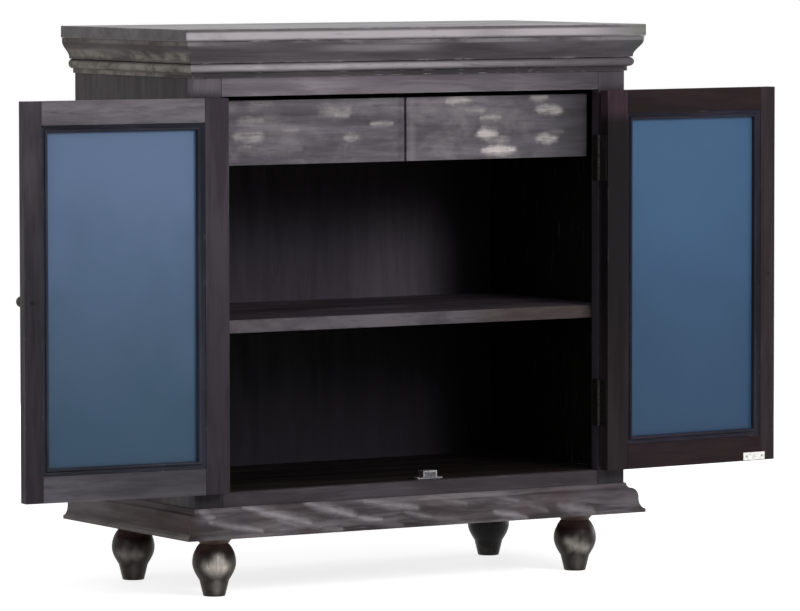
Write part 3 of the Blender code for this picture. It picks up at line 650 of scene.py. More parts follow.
def strokes(marks, plane=unit, ragged=1.0):
    """The strongest of several strokes, each a (start, end, width, strength), broken up by the grain."""

    def mask(site):
        rim, cloud = (noise(*each, 0.6) for each in ((site.fibres, 90, 4), (site.place, 60, 3)))
        cloud = product(calc("SUBTRACT", cloud, 0.5), 1.7 * ragged)
        shift = calc("MULTIPLY_ADD", calc("SUBTRACT", rim, 0.5), 2.2 * ragged, cloud)
        common = {"Place": site.place, "Plane": plane, "Ragged": shift}
        worn = []
        for start, end, width, strength in marks:
            given = {"Start": start, "End": end, "Width": width, **common}
            worn.append(product(place_group("rubbed_stroke", given)["Mask"], strength))
        scratches = noise(stretched(site.fibres, (3, 1, 3)), 90, 4, 0.7)
        return product(strongest(*worn), ramp(scratches, 0.34, 0.58, 1 - 0.45 * ragged))

    return mask


# Finishes

fibre_stretch = {"X": (0.1, 1, 1), "Y": (1, 0.1, 1), "Z": (1, 1, 0.1)}
streak_stain = (0.55, 0.53, 0.53, 1)
worn_paint = (95, 102, 115)

# Width of the worn arrises, and the strength and depth of the relief
wood_arris = 0.003
paint_arris = 0.0015
metal_arris = 0.0006
wood_relief = (0.45, 0.0006)
paint_relief = (0.12, 0.0002)
metal_relief = (0.15, 0.0001)


def tone(red, green, blue):
    """A colour from its display values out of 255, as a shader takes it."""
    values = [part / 255 for part in (red, green, blue)]
    linear = [part / 12.92 if part <= 0.04045 else ((part + 0.055) / 1.055) ** 2.4 for part in values]
    return (*linear, 1)


def scaled(colour, factor, lift=0.0):
    """A colour made darker or lighter."""
    return (*(min(1, factor * part + lift) for part in colour[:3]), 1)


def start_finish(name):
    """A material with its shader and the object's own coordinates."""
    material = bpy.data.materials.new(name)
    material.use_nodes = True
    tree = material.node_tree
    place = add_node(tree, "ShaderNodeTexCoord").outputs["Object"]
    return SimpleNamespace(material=material, place=place, inputs=tree.nodes["Principled BSDF"].inputs)


def end_finish(site, colour, rough, height, relief):
    """Feeds the shader its colour, its roughness and the relief of a height."""
    inputs = {"Height": height, "Strength": relief[0], "Distance": relief[1]}
    normal = follow("ShaderNodeBump", inputs).outputs[0]
    for key, value in (("Base Color", colour), ("Roughness", rough), ("Normal", normal)):
        feed(site.inputs[key], value)
    return site.material


def worn_arrises(site, width, breakup):
    """The mask of a piece's worn arrises."""
    return place_group("edge_wear", {"Place": site.place, "Width": width, "Breakup": breakup})["Mask"]


def wood_finish(
    name, along, tones, wear=0.62, patches=(7, 0.64), shine=0.15, gloss=(0.42, 0.62), contrast=1.0,
    shades=(), rubs=(),
):
    """Stained wood with fibres along an axis. Tones are its plain, rubbed and tinted colours.

    Contrast is how strongly the figure and the streaks show. Shades are (mask, colour) pairs laid
    over the stain. Rubs are masks of places worn down to the rubbed colour, besides the cloudy
    patches and the arrises.
    """
    site = start_finish(name)
    plain, rubbed, tint = (tone(*each) for each in tones)
    deep, light = scaled(plain, 1 - 0.5 * contrast), scaled(plain, 1 + 0.35 * contrast)
    site.fibres = stretched(site.place, fibre_stretch[along])
    grain = place_group("wood_grain", {"Place": site.fibres})
    colour = blended(ramp(grain["Figure"], 0.34, 0.68), deep, light)
    tinted = ramp(noise(site.place, 5.5, 3, 0.5, 0.6), 0.48, 0.66, 0.0, 0.7)
    colour = blended(tinted, colour, tint)
    for mask, shade in shades:
        colour = blended(mask(site), colour, tone(*shade))
    streaked = ramp(grain["Streaks"], 0.62, 0.38, 0.0, 0.75 * contrast)
    colour = blended(streaked, colour, streak_stain, "MULTIPLY")
    given = {"Place": site.place, "Fibres": site.fibres, "Scale": patches[0], "Threshold": patches[1]}
    patchy = place_group("rubbed_patches", given)["Mask"]
    worn = strongest(patchy, worn_arrises(site, wood_arris, wear), *(mask(site) for mask in rubs))
    colour = blended(worn, colour, rubbed)
    colour = blended(product(grain["Pores"], 0.5), colour, deep)
    rough = ramp(grain["Streaks"], 0.3, 0.7, gloss[1], gloss[0])
    rough = calc("MULTIPLY_ADD", worn, 0.15, rough)
    site.inputs["Specular IOR Level"].default_value = shine
    height = calc("MULTIPLY_ADD", worn, -0.5, grain["Height"])
    return end_finish(site, colour, rough, height, wood_relief)


def paint_finish(name, side, lower, upper):
    """Smooth satin paint that pales from its lower to its upper colour, a painted light falloff from above,
    with faint clouds and brush marks.
    """
    site = start_finish(name)
    cloud = noise(site.place, 6, 4, 0.5, 0.4)
    # Painted light: the paint pales towards the head of the panel
    level = calc("MULTIPLY_ADD", calc("SUBTRACT", cloud, 0.5), 0.35, axis_value(site, "Z"))
    level = ramp(level, panel_edges[2], panel_edges[3])
    faces = ((lower, upper), outer_paint_and_light)
    inside, outside = (blended(level, tone(*low), tone(*high)) for low, high in faces)
    outer = near_outer_face(side, (panel_inner + panel_outer) / 2)(site)
    arris = product(worn_arrises(site, paint_arris, 0.6), 0.5)
    colour = blended(arris, blended(outer, inside, outside), tone(*worn_paint))
    brushed = noise(stretched(site.place, (1, 1, 0.05)), 240, 3, 0.5)
    site.inputs["Specular IOR Level"].default_value = 0.3
    rough = ramp(brushed, 0.2, 0.8, 0.36, 0.46)
    return end_finish(site, colour, rough, calc("ADD", brushed, cloud), paint_relief)


def metal_finish(name, clean, dull, roughness, metallic=1.0):
    """Plain metal with dull blotches and bright worn arrises."""
    site = start_finish(name)
    clean = tone(*clean)
    blotch = ramp(noise(site.place, 160, 5, 0.6, 0.4), 0.42, 0.66)
    arris = product(worn_arrises(site, metal_arris, 0.35), 0.6)
    colour = blended(arris, blended(blotch, clean, tone(*dull)), scaled(clean, 1.4, 0.03))
    site.inputs["Metallic"].default_value = metallic
    scratches = noise(stretched(site.place, (1, 1, 0.08)), 900, 3, 0.6)
    rough = ramp(blotch, 0, 1, roughness, roughness + 0.15)
    return end_finish(site, colour, rough, scratches, metal_relief)


def look(along, *tones, **settings):
    """What a wood's finish is made from. Its tones are display values out of 255."""
    return {"along": along, "tones": tones, **settings}


# Top board: a pale worn band along the front, which fades at its right end as painted light falloff, and a
# darker left end
front_face = rise("Y", -0.2095, -0.2115)
worn_band_and_light_falloff = both(
    strip("Z", 0.8975, 0.909, 0.0022, 0.95),
    front_face,
    broken(9, 0.2, 0.5, 0.45, (1, 1, 3)),
    without(strip("X", 0.09, 0.17, 0.04, 0.28)),
    rise("X", 0.46, 0.28),
)
faded_right = (both(front_face, rise("X", 0.36, 0.41, 0.75)), (132, 136, 132))
left_end = (both(rise("X", -0.4366, -0.4373), broken(18, 0.4, 0.6, 0.4)), (80, 74, 75))

# Cornice along the front: rubbed bead, lip and ogee, darker places between, and painted light and shade
# The bead's wear fades out to the right as painted light falloff, and dims at the far left end
fade_and_light_falloff = both(rise("X", 0.5, -0.22), without(rise("X", -0.28, -0.43, 0.45)))
bead_wear_and_light = both(strip("Z", 0.8475, 0.856, 0.003, 0.9), broken(10, 0.25, 0.6, 0.45, (1, 1, 3)), fade_and_light_falloff)
# The lip is lightened, partly rubbed wear and partly painted light over the shade beneath the top board
lip_wear_and_light = both(rise("Z", 0.8868, 0.8885, 0.3), broken(7, 0.44, 0.6, 0.0, (1, 1, 3)))
ogee_wear = both(strip("Z", 0.876, 0.886, 0.003, 0.34), strip("X", -0.18, 0.0, 0.05))
# Painted shade over the cornice's right part, where the light falls off
painted_shade_right = (rise("X", -0.16, 0.08, 0.85), (80, 75, 80))
dark_left = (both(strip("Z", 0.86, 0.887, 0.003, 0.5), rise("X", -0.22, -0.34)), (70, 64, 69))
dark_middle = (both(strip("Z", 0.874, 0.887, 0.003, 0.6), strip("X", 0.06, 0.15, 0.03)), (52, 48, 53))
# Painted shade on the lower ogee, beneath its overhang
painted_shade_low_ogee = (strip("Z", 0.86, 0.8715, 0.003, 0.7), (70, 65, 69))
# Painted shadow under the bead
painted_shadow_under_bead = (strip("Z", 0.836, 0.8445, 0.0018, 0.85), (44, 39, 43))
green_end = (both(rise("X", 0.385, 0.42, 0.6), rise("Z", 0.862, 0.872)), (70, 78, 74))

# Cornice along the sides: rubbed bands, with painted shade under the lip, a painted shadow below the bead,
# and painted light over the bead's shaded lower half
# Painted shade on the top of the ogee, under the lip
painted_shade_under_lip = (both(strip("Z", 0.879, 0.8865, 0.0025, 0.8), broken(12, 0.25, 0.55, 0.35)), (58, 47, 45))
# Painted shadow below the bead, towards the front
painted_shadow_below_bead = (both(rise("Z", 0.842, 0.837, 0.7), rise("Y", -0.08, -0.14)), (64, 58, 60))
side_band = both(strip("Z", 0.863, 0.876, 0.004, 0.75), broken(26, 0.37, 0.61, 0.05, (1, 1, 1.4)))
# The bead is rubbed, and lightened as painted light over its lower half, which faces down into shade
side_bead_wear_and_light = both(strip("Z", 0.843, 0.856, 0.0035, 0.95), broken(19, 0.33, 0.6, 0.2, (1, 1, 1.5)))
side_lip = both(rise("Z", 0.887, 0.889, 0.35), broken(20, 0.38, 0.6, 0.1))
side_foot = both(
    rise("Z", 0.845, 0.842, 0.7), strip("Y", -0.09, 0.2, 0.03), broken(24, 0.36, 0.6, 0.2)
)

# Rubbed streaks that run down across the plinth's front, as (x, z) of both ends, width and strength
plinth_marks = (
    (-0.402, 0.1404, -0.387, 0.1364, 0.0112, 0.88),
    (-0.392, 0.127, -0.3, 0.1089, 0.0088, 0.81),
    (-0.3225, 0.1473, -0.207, 0.1149, 0.0096, 1.0),
    (-0.27, 0.125, -0.23, 0.113, 0.0064, 0.62),
    (-0.205, 0.1474, -0.122, 0.1216, 0.0104, 0.94),
    (-0.1163, 0.1196, -0.0745, 0.114, 0.008, 1.0),
    (-0.0954, 0.144, -0.0055, 0.129, 0.0096, 0.8),
    (-0.03, 0.125, 0.02, 0.113, 0.0064, 0.56),
    (0.04, 0.143, 0.0891, 0.131, 0.008, 0.5),
    (0.14, 0.143, 0.19, 0.13, 0.0075, 0.45),
    (0.21, 0.123, 0.245, 0.112, 0.008, 0.44),
    (-0.215, 0.115, -0.155, 0.1035, 0.009, 0.65),
    (-0.1, 0.113, -0.04, 0.1035, 0.008, 0.35),
    (0.02, 0.113, 0.08, 0.1035, 0.008, 0.35),
    (0.145, 0.115, 0.2, 0.1035, 0.0085, 0.8),
    (0.2715, 0.118, 0.3331, 0.106, 0.0128, 0.69),
)
plinth_streaks = strokes([
    ((x0, 0, z0), (x1, 0, z1), *rest) for x0, z0, x1, z1, *rest in plinth_marks
], plane=(1, 0, 1), ragged=0.6)

# Plinth: slanting faint streaks and hollows in front, and worn toes along the sides
slant = (0, math.radians(-13), 0)
faint_streaks = both(rise("X", -0.43, -0.4, 0.45), broken(34, 0.44, 0.7, 0.0, (0.16, 1, 1), slant))
hollows = (broken(30, 0.46, 0.64, 0.0, (0.18, 1, 1), slant), (62, 55, 58))
left_corner = (rise("X", -0.405, -0.425, 0.8), (60, 46, 48))
front_corner = (both(rise("Y", -0.05, -0.12, 0.95), rise("Z", 0.106, 0.11)), (46, 24, 30))
side_ledge = (both(rise("Z", 0.132, 0.138, 0.6), rise("Y", -0.13, -0.09)), (104, 94, 96))
far_end = (rise("Y", 0.02, 0.14, 0.5), (98, 92, 98))
toe_wear = both(strip("Z", 0.098, 0.108, 0.003, 0.75), broken(14, 0.34, 0.6, 0.3, (1, 1, 2)))

# Rubbed streaks on the drawer fronts, as x of both ends, z, width and strength
drawer_front_y = -0.16
drawer_marks = (
    (-0.3156, -0.2748, 0.7389, 0.0154, 0.58),
    (-0.3081, -0.2709, 0.7646, 0.0131, 0.34),
    (-0.2894, -0.2522, 0.7932, 0.011, 0.26),
    (-0.1585, -0.1094, 0.7794, 0.0154, 0.38),
    (-0.1321, -0.1094, 0.771, 0.0076, 0.47),
    (-0.1152, -0.0924, 0.7349, 0.0099, 0.63),
    (-0.0638, -0.0256, 0.7565, 0.0061, 0.53),
    (-0.2299, -0.2037, 0.7486, 0.0099, 0.29),
    (-0.312, -0.2001, 0.7187, 0.0099, 0.17),
    (-0.0199, 0.0185, 0.7786, 0.0131, 0.15),
    (0.0822, 0.121, 0.7915, 0.0114, 0.79),
    (0.1171, 0.1482, 0.7744, 0.0131, 0.4),
    (0.1463, 0.1834, 0.7623, 0.007, 0.63),
    (0.1443, 0.1717, 0.736, 0.0143, 0.89),
    (0.1521, 0.2069, 0.7074, 0.011, 1.0),
    (0.156, 0.1991, 0.724, 0.011, 0.45),
    (0.2463, 0.2739, 0.7937, 0.011, 0.58),
    (0.2621, 0.2977, 0.7717, 0.0131, 0.63),
    (0.268, 0.2937, 0.7667, 0.0066, 0.53),
    (0.2601, 0.2898, 0.7252, 0.011, 0.65),
    (0.2779, 0.305, 0.7365, 0.007, 0.15),
)
drawer_streaks = strokes([
    ((x0, drawer_front_y, z), (x1, drawer_front_y, z), *rest) for x0, x1, z, *rest in drawer_marks
])

# Drawer fronts: clouded grey, with painted shade by the seam and towards the right, and painted light along
# the top
# Painted shade beside the gap between the drawers
painted_shade_seam = (strip("X", -0.014, -0.001, 0.003, 0.6), (84, 78, 88))
pale_seam = strip("X", 0.006, 0.018, 0.007, 0.12)
# Painted shade towards the right, where the light falls off
painted_shade_end = (rise("X", 0.26, 0.345, 0.85), (58, 56, 58))
painted_shade_middle = (rise("X", 0.16, 0.24, 0.6), (84, 82, 90))
clouds = both(broken(22, 0.42, 0.72, 0.0, (0.7, 1, 1)), rise("X", 0.3, 0.2, 0.16))
# Painted light along the fronts' top, lifting the shadow of the rail above
painted_light_under_rail = (both(rise("Z", 0.768, 0.79, 0.7), rise("X", 0.32, 0.24)), (126, 120, 128))

# Body: stile tops in the frieze's tone with its painted light falloff, inside faces painted near-black as
# shade, and painted light and shade on the back's inner face
# Stile tops in the frieze's tone, paler on the left and darker on the right as painted light falloff
above_left = (both(rise("Z", 0.8, 0.822), rise("X", -0.3, -0.34)), (108, 101, 108))
above_right = (both(rise("Z", 0.795, 0.818), rise("X", 0.3, 0.34)), (82, 77, 84))
# Painted shade: the inside faces of the sides, and the back's right part, are painted near-black
inner_shade = (10, 8, 6)
shaded_inner_face = (between_sides(0.402), inner_shade)
inner_face = rise("Y", 0.211, 0.209)
below_shelf = rise("Z", 0.44, 0.43)
# Painted light and shade on the back's inner face: its own tone, a paler middle, darker low down, painted
# shadow under the drawers and under the shelf, and painted shade towards the right side
back_painted_light = [
    (inner_face, (72, 67, 76)),
    (both(inner_face, rise("X", 0.06, 0.2), without(below_shelf)), (92, 86, 95)),
    (both(inner_face, below_shelf), (47, 44, 50)),
    (both(inner_face, rise("Z", 0.5, 0.66, 0.9)), (20, 16, 17)),
    (both(inner_face, rise("Z", 0.26, 0.4), below_shelf), (22, 19, 18)),
    (both(inner_face, rise("X", 0.24, 0.35, 0.9)), inner_shade),
]
shelf_front = rise("Y", -0.1565, -0.159)
shelf_edge = both(shelf_front, broken(12, 0.3, 0.62, 0.35, (1, 1, 3)), rise("X", 0.22, 0.06, 0.9))
shelf_right = (both(shelf_front, rise("X", 0.08, 0.2)), (82, 73, 72))

# Feet: painted highlights on the balls and tapers, on their sides towards the room's front left
foot_highlights = (
    ((-0.3719, -0.1591, 0.049), (-0.346, -0.1694, 0.048), 0.018, 0.9),
    ((-0.3578, -0.167, 0.064), (-0.3579, -0.1674, 0.048), 0.015, 1.0),
    ((-0.354, -0.156, 0.026), (-0.353, -0.154, 0.008), 0.012, 0.26),
    ((0.32, -0.156, 0.05), (0.3313, -0.1636, 0.042), 0.015, 0.52),
    ((0.3313, -0.1636, 0.044), (0.35, -0.1655, 0.038), 0.014, 0.48),
    ((0.338, -0.158, 0.026), (0.339, -0.154, 0.006), 0.012, 0.14),
    ((-0.378, 0.1253, 0.045), (-0.365, 0.112, 0.043), 0.014, 0.42),
    ((-0.364, 0.111, 0.043), (-0.3517, 0.1051, 0.043), 0.014, 0.45),
    ((-0.356, 0.117, 0.024), (-0.355, 0.119, 0.008), 0.011, 0.16),
)
dark_crown = (rise("Z", 0.06, 0.07), (46, 32, 28))
# Painted light on the neck, which stands in the plinth's shadow
lit_neck = (rise("Z", 0.07, 0.082, 0.9), (108, 88, 82))
# Painted shade: the back right foot, in the cabinet's shadow, is painted near-black
painted_shade_back_foot = (both(rise("X", 0.0, 0.1), rise("Y", 0.0, 0.05)), (14, 12, 12))

# Woods of the body and the drawers, each with its plain, rubbed and tinted stain
box_stain = ((74, 64, 56), (104, 94, 84), (66, 52, 44))
unseen = {"patches": (8, 0.74), "shine": 0.05}
wood_looks = {
    "top": look(
        "X", (106, 100, 104), (180, 173, 177), (92, 84, 88), wear=0.58, patches=(9, 0.64), shine=0.3,
        gloss=(0.3, 0.46), shades=[faded_right, left_end], rubs=[worn_band_and_light_falloff],
    ),
    "cornice": look(
        "X", (110, 104, 109), (180, 174, 178), (96, 87, 90), patches=(10, 0.66), shine=0.2,
        shades=[painted_shade_right, dark_left, dark_middle, painted_shade_low_ogee, painted_shadow_under_bead, green_end],
        rubs=[bead_wear_and_light, lip_wear_and_light, ogee_wear],
    ),
    "cornice_side": look(
        "Y", (94, 87, 86), (164, 157, 148), (82, 66, 64), patches=(20, 0.66),
        shades=[painted_shade_under_lip, painted_shadow_below_bead], rubs=[side_band, side_bead_wear_and_light, side_lip, side_foot],
    ),
    "frieze": look(
        "X", (134, 126, 134), (166, 158, 162), (116, 108, 116), patches=(6, 0.66),
        # Painted light falloff: the frieze darkens in two steps towards the right
        shades=[(rise("X", -0.2, -0.04, 0.9), (112, 105, 112)), (rise("X", 0.19, 0.34, 0.95), (82, 77, 84))],
    ),
    "plinth": look(
        "X", (77, 71, 75), (154, 148, 152), (80, 68, 70), wear=0.7, patches=(6, 0.72),
        shades=[hollows, left_corner], rubs=[plinth_streaks, faint_streaks],
    ),
    "plinth_side": look(
        "Y", (84, 75, 75), (128, 121, 120), (74, 56, 58), wear=0.6, patches=(18, 0.62),
        shades=[far_end, side_ledge, front_corner], rubs=[toe_wear],
    ),
    "drawer": look(
        "X", (106, 100, 108), (206, 198, 196), (96, 90, 100), wear=0.72, patches=(9, 0.74),
        shades=[painted_light_under_rail, painted_shade_middle, painted_shade_seam, painted_shade_end], rubs=[drawer_streaks, clouds, pale_seam],
    ),
    "stile": look(
        "Z", (54, 50, 55), (104, 99, 102), (46, 38, 42), wear=0.66, shine=0.1, contrast=0.7,
        shades=[above_left, above_right],
    ),
    "side": look(
        "Z", (78, 73, 75), (116, 111, 112), (70, 60, 62), patches=(9, 0.66), shine=0.1, contrast=0.6,
        shades=[shaded_inner_face],
    ),
    "runner": look("Y", (16, 13, 11), (36, 32, 30), (14, 10, 9), contrast=0.6, **unseen),
    "box": look("Y", *box_stain, **unseen),
    "box_back": look("X", *box_stain, **unseen),
    "back": look(
        "Z", (62, 56, 59), (92, 86, 88), (56, 48, 50), patches=(5, 0.72), shine=0.05, contrast=0.45,
        shades=back_painted_light,
    ),
    "shelf": look(
        "X", (72, 66, 73), (106, 100, 105), (58, 50, 54), patches=(8, 0.74), shine=0.08,
        shades=[shelf_right], rubs=[shelf_edge],
    ),
    "bottom": look("X", (30, 26, 25), (56, 50, 48), (24, 17, 16), **unseen),
    "rail": look(
        "X", (68, 63, 68), (112, 106, 108), (66, 58, 62), patches=(9, 0.62), shine=0.12,
        shades=[(rise("X", -0.28, -0.37, 0.7), (50, 46, 50))],
    ),
    # The feet's near-white rubbed tone serves their worn patches and arrises, and the painted highlights
    "foot": look(
        "Z", (44, 38, 34), (246, 236, 226), (42, 32, 28), wear=0.7, patches=(30, 0.7),
        gloss=(0.3, 0.5), shades=[dark_crown, lit_neck, painted_shade_back_foot], rubs=[strokes(foot_highlights, ragged=0.3)],
    ),
    "block": look("Z", (48, 40, 36), (90, 80, 72), (40, 30, 26), shine=0.1),
}

# The doors' stains and shades, and the paint of their panels at its foot and its head, paler at the head as
# painted light
door_stains = {
    "left_upright": ((66, 62, 69), (116, 111, 118), (58, 52, 58)),
    "left_level": ((94, 91, 98), (130, 125, 132), (88, 80, 88)),
    "left_stick": ((58, 60, 72), (96, 98, 112), (48, 50, 60)),
    "right_upright": ((44, 36, 39), (92, 84, 86), (40, 28, 30)),
    "right_level": ((36, 25, 28), (80, 72, 76), (32, 20, 23)),
    "right_stick": ((46, 44, 56), (88, 84, 96), (38, 34, 44)),
}
door_shades = {
    # Left door stiles: the second pair is painted shade, darker towards their foot
    "left_upright": [(rise("X", -0.45, -0.4), (66, 59, 67)), (rise("Z", 0.62, 0.25, 0.75), (50, 45, 51))],
    "left_level": [
        # Painted light on the left door's top rail
        (rise("Z", 0.75, 0.78), (120, 114, 122)),
        (both(rise("Z", 0.24, 0.22, 0.6), rise("X", -0.52, -0.62)), (108, 105, 113)),
    ],
    "right_upright": [
        (rise("X", 0.48, 0.62), (54, 45, 49)),
        (both(rise("X", 0.55, 0.45), rise("Z", 0.26, 0.52)), (18, 14, 17)),
        (both(rise("X", 0.55, 0.45, 0.8), rise("Z", 0.748, 0.776)), (66, 49, 58)),
    ],
    "right_level": [],
}
# Each panel's paint at its foot and its head; the paler head is painted light
panel_paint_and_light = {"left": ((48, 76, 100), (90, 112, 146)), "right": ((40, 70, 100), (60, 92, 127))}

# The doors' outer faces, which match when the doors are shut; their paint keeps the same painted light from
# foot to head
outer_wood = (60, 54, 59)
outer_paint_and_light = ((44, 73, 100), (74, 101, 136))
outer_depth = 0.0045

# Metals, as their clean and dull colours, roughness, and how metallic they are where it isn't fully so
metal_looks = {
    "dark_steel": ((46, 44, 43), (34, 32, 31), 0.55),
    "catch_steel": ((158, 156, 156), (122, 120, 120), 0.4),
    "bright_steel": ((232, 231, 229), (205, 204, 202), 0.3),
    "dark_iron": ((66, 62, 60), (46, 42, 40), 0.4),
    "magnet": ((112, 112, 116), (84, 84, 88), 0.45, 0.6),
}

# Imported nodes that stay, each with its finish and how far its arrises are eased
kept_nodes = (
    ("top_board", "top", 0.0014),
    ("frame_top_rail", "frieze", 0.0008),
    ("frame_bottom_rail", "rail", 0.0008),
    ("frame_stile_*", "stile", 0.0008),
    ("side_panel_*", "side", 0.0008),
    ("bottom_board", "bottom", 0.0008),
    ("shelf", "shelf", 0.001),
    ("back_panel", "back", 0),
    ("catch_case", "catch_steel", 0.0003),
    ("catch_magnet", "magnet", 0.0002),
    ("strike_plate", "bright_steel", 0.0003),
    ("door_left_*_stile", "left_upright", 0.0008),
    ("door_right_*_stile", "right_upright", 0.0008),
    ("door_left_*_rail", "left_level", 0.0008),
    ("door_right_*_rail", "right_level", 0.0008),
    ("door_left_panel", "left_paint", 0),
    ("door_right_panel", "right_paint", 0),
    ("drawer_*_front", "drawer", 0.001),
    ("drawer_*_side", "box", 0.0005),
    ("drawer_*_bottom", "box", 0.0005),
    ("drawer_*_back", "box_back", 0.0005),
    ("drawer_runner_*", "runner", 0.0005),
    ("hinge_*_leaf", "dark_steel", 0),
)


def door_finishes(side, label):
    """Finishes of one door: its upright and level wood, the sticks round its panel, and the paint."""
    outer = (near_outer_face(side, outer_depth), outer_wood)
    made = {label + "_paint": paint_finish(f"panel_{label}_paint", side, *panel_paint_and_light[label])}
    stick_stain = door_stains[label + "_stick"]
    for way, along in (("upright", "Z"), ("level", "X")):
        key = f"{label}_{way}"
        wood = look(along, *door_stains[key], wear=0.66, patches=(8, 0.68), shine=0.1)
        made[key] = wood_finish(f"door_{key}_wood", shades=[*door_shades[key], outer], **wood)
        wood = look(along, *stick_stain, wear=0.66, patches=(8, 0.7), shine=0.1)
        made[key + "_stick"] = wood_finish(f"door_{key}_stick_wood", **wood)
    return made


def make_finishes():
    """Every finish by its name."""
    for make in (make_grain, make_wear, make_patches, make_stroke):
        make()
    made = {name: wood_finish(name + "_wood", **settings) for name, settings in wood_looks.items()}
    made |= {name: metal_finish(name, *settings) for name, settings in metal_looks.items()}
    return made | door_finishes(-1, "left") | door_finishes(1, "right")


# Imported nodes

merge_distance = 0.00001
ease_angle = math.radians(40)


def softening_group():
    """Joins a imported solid's loose triangles and shades it smooth, but sharp past a set angle."""
    tree = bpy.data.node_groups.new("softened", "GeometryNodeTree")
    for way in ("INPUT", "OUTPUT"):
        tree.interface.new_socket("Geometry", in_out=way, socket_type="NodeSocketGeometry")
    form = tree.nodes.new("NodeGroupInput").outputs[0]
    for kind, settings in (
        ("GeometryNodeRemoveAttribute", {"Name": "custom_normal"}),
        ("GeometryNodeMergeByDistance", {"Distance": merge_distance}),
        ("GeometryNodeSetShadeSmooth", {}),
    ):
        form = follow(kind, {"Geometry": form, **settings}).outputs[0]
    angle = tree.nodes.new("GeometryNodeInputMeshEdgeAngle").outputs[0]
    sharp = follow("FunctionNodeCompare", {0: angle, 1: smooth_angle}, operation="GREATER_THAN")
    inputs = {"Geometry": form, "Name": "sharp_edge", "Value": sharp.outputs[0]}
    marked = follow("GeometryNodeStoreNamedAttribute", inputs, data_type="BOOLEAN", domain="EDGE")
    feed(tree.nodes.new("NodeGroupOutput").inputs[0], marked.outputs[0])
    return tree


def finish_nodes(nodes, finishes):
    """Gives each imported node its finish, smooth shading and slightly eased arrises."""
    softened = softening_group()
    for pattern, finish, ease in kept_nodes:
        for name in fnmatch.filter(nodes, pattern):
            nodes[name].data.materials[0] = finishes[finish]
            nodes[name].modifiers.new("softened", "NODES").node_group = softened
            if ease:
                ease_arrises(nodes[name], ease)


def ease_arrises(node, width):
    """A narrow rounding along a node's arrises."""
    bevel = node.modifiers.new("eased", "BEVEL")
    bevel.width = width
    bevel.segments = 2
    bevel.limit_method = "ANGLE"
    bevel.angle_limit = ease_angle
    bevel.harden_normals = True


def add_new_pieces(finishes):
    """Mouldings, feet, sticks, knobs and screws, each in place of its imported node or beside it."""
    for prefix, section, top in (
        ("cornice", cornice_section(), cornice_top), ("plinth", plinth_section(), plinth_top)
    ):
        add_mouldings(prefix, section, top, finishes[prefix], finishes[prefix + "_side"])
    add_feet(finishes["foot"], finishes["block"])
    for side, label in ((-1, "left"), (1, "right")):
        body = "door_" + label
        for which, way in (("hinge", "upright"), ("free", "upright"), ("lower", "level"), ("upper", "level")):
            finish = finishes[f"{label}_{way}_stick"]
            name = f"{body}_{which}_stick"
            add_piece(name, [stick(name, side, which)], finish, body, "door_wood", body + "_panel_moulding")
        add_knob(side, label, finishes["dark_iron"], finishes["dark_steel"])
        add_leaf_screws(side, label, finishes["dark_steel"])
    add_catch_screws(finishes["catch_steel"])


# Camera, floor and light

camera_turns = (31.34952, 3.86367, -0.08643)
camera_target = (0.08663, 0, 0.44546)
camera_distance = 9.53022
lens_length = 257.2
far_clip = 500
floor_reach = 300
floor_glow = 0.78
surround_light = 0.28

# Lamps: place, target, size and power. The last two stand below the top's plane, so it stays dark
lamps = {
    "key": ((0.82, -2.97, 1.9), (0.0, -0.1, 0.5), 1.3, 49),
    "fill": ((-3.0, -1.2, 1.5), (-0.2, 0.0, 0.5), 1.8, 13),
    "above": ((0.0, -0.7, 2.8), (0, -0.1, 0.8), 1.4, 7),
    "behind": ((1.6, 3.1, 0.45), (0.1, 0.1, 0.45), 0.9, 26),
    "right": ((3.3, 0.5, 0.45), (0.4, 0.0, 0.45), 0.9, 14),
}


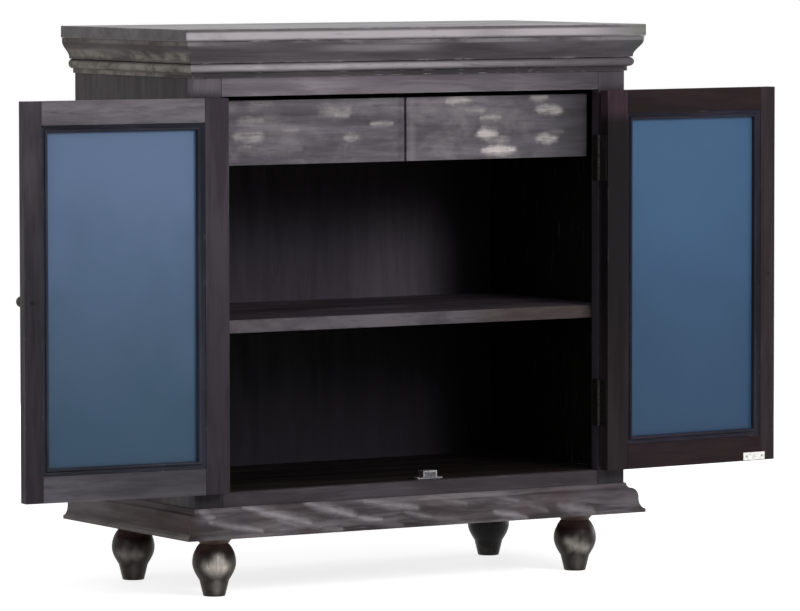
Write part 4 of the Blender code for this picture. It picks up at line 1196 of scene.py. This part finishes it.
def place_camera():
    """The photograph's view: a long lens 9.5 m away, 31 degrees to the left and 4 degrees above."""
    yaw, pitch, roll = (math.radians(turn) for turn in camera_turns)
    forward = Vector((math.sin(yaw) * math.cos(pitch), math.cos(yaw) * math.cos(pitch), -math.sin(pitch)))
    right = Vector((math.cos(yaw), -math.sin(yaw), 0))
    up = right.cross(forward)
    eye = Vector(camera_target) - camera_distance * forward
    camera = add_object("camera", bpy.data.cameras.new("camera"))
    turn = Matrix((right, up, -forward)).transposed().to_4x4()
    camera.matrix_world = Matrix.Translation(eye) @ turn @ Matrix.Rotation(roll, 4, "Z")
    camera.data.sensor_width = 36
    camera.data.lens = lens_length
    camera.data.clip_end = far_clip
    bpy.context.scene.camera = camera


def seen_directly(tree):
    """One for rays from the camera, and for those seen in gloss or through glass."""
    path = tree.nodes.new("ShaderNodeLightPath").outputs
    return strongest(*(path[f"Is {kind} Ray"] for kind in ("Camera", "Glossy", "Transmission")))


def light_world():
    """A white surround where it is seen, and a softer even light on everything else."""
    world = bpy.data.worlds.new("studio")
    bpy.context.scene.world = world
    world.use_nodes = True
    tree = world.node_tree
    background = tree.nodes["Background"]
    background.inputs["Color"].default_value = (1, 1, 1, 1)
    feed(background.inputs["Strength"], ramp(seen_directly(tree), 0, 1, surround_light))


def add_floor():
    """A plain pale floor that reads as white but keeps the cabinet's shadow."""
    mesh = bpy.data.meshes.new("floor")
    corners = [(x * floor_reach, y * floor_reach, 0) for x, y in square_corners]
    mesh.from_pydata(corners, [], [(0, 1, 2, 3)])
    floor = add_object("floor", mesh)
    floor.location.z = -seat_gap
    site = start_finish("pale_floor")
    glow = product(seen_directly(site.material.node_tree), floor_glow)
    inputs = {"Base Color": (0.8, 0.8, 0.8, 1), "Roughness": 0.9, "Specular IOR Level": 0}
    inputs |= {"Emission Color": (1, 1, 1, 1), "Emission Strength": glow}
    for key, value in inputs.items():
        feed(site.inputs[key], value)
    mesh.materials.append(site.material)


def add_lamp(name, place, target, size, power):
    """A soft round lamp aimed at a point."""
    lamp = bpy.data.lights.new(name, "AREA")
    lamp.shape = "DISK"
    lamp.size = size
    lamp.energy = power
    item = add_object(name, lamp)
    item.location = place
    item.rotation_euler = (Vector(target) - Vector(place)).to_track_quat("-Z", "Y").to_euler()


def build():
    """Finishes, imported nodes, new pieces, light and camera."""
    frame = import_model()
    finishes = make_finishes()
    finish_nodes(frame["nodes"], finishes)
    add_new_pieces(finishes)
    light_world()
    add_floor()
    for name, settings in lamps.items():
        add_lamp(name, *settings)
    place_camera()
    bpy.context.scene.view_settings.view_transform = "Standard"


build()
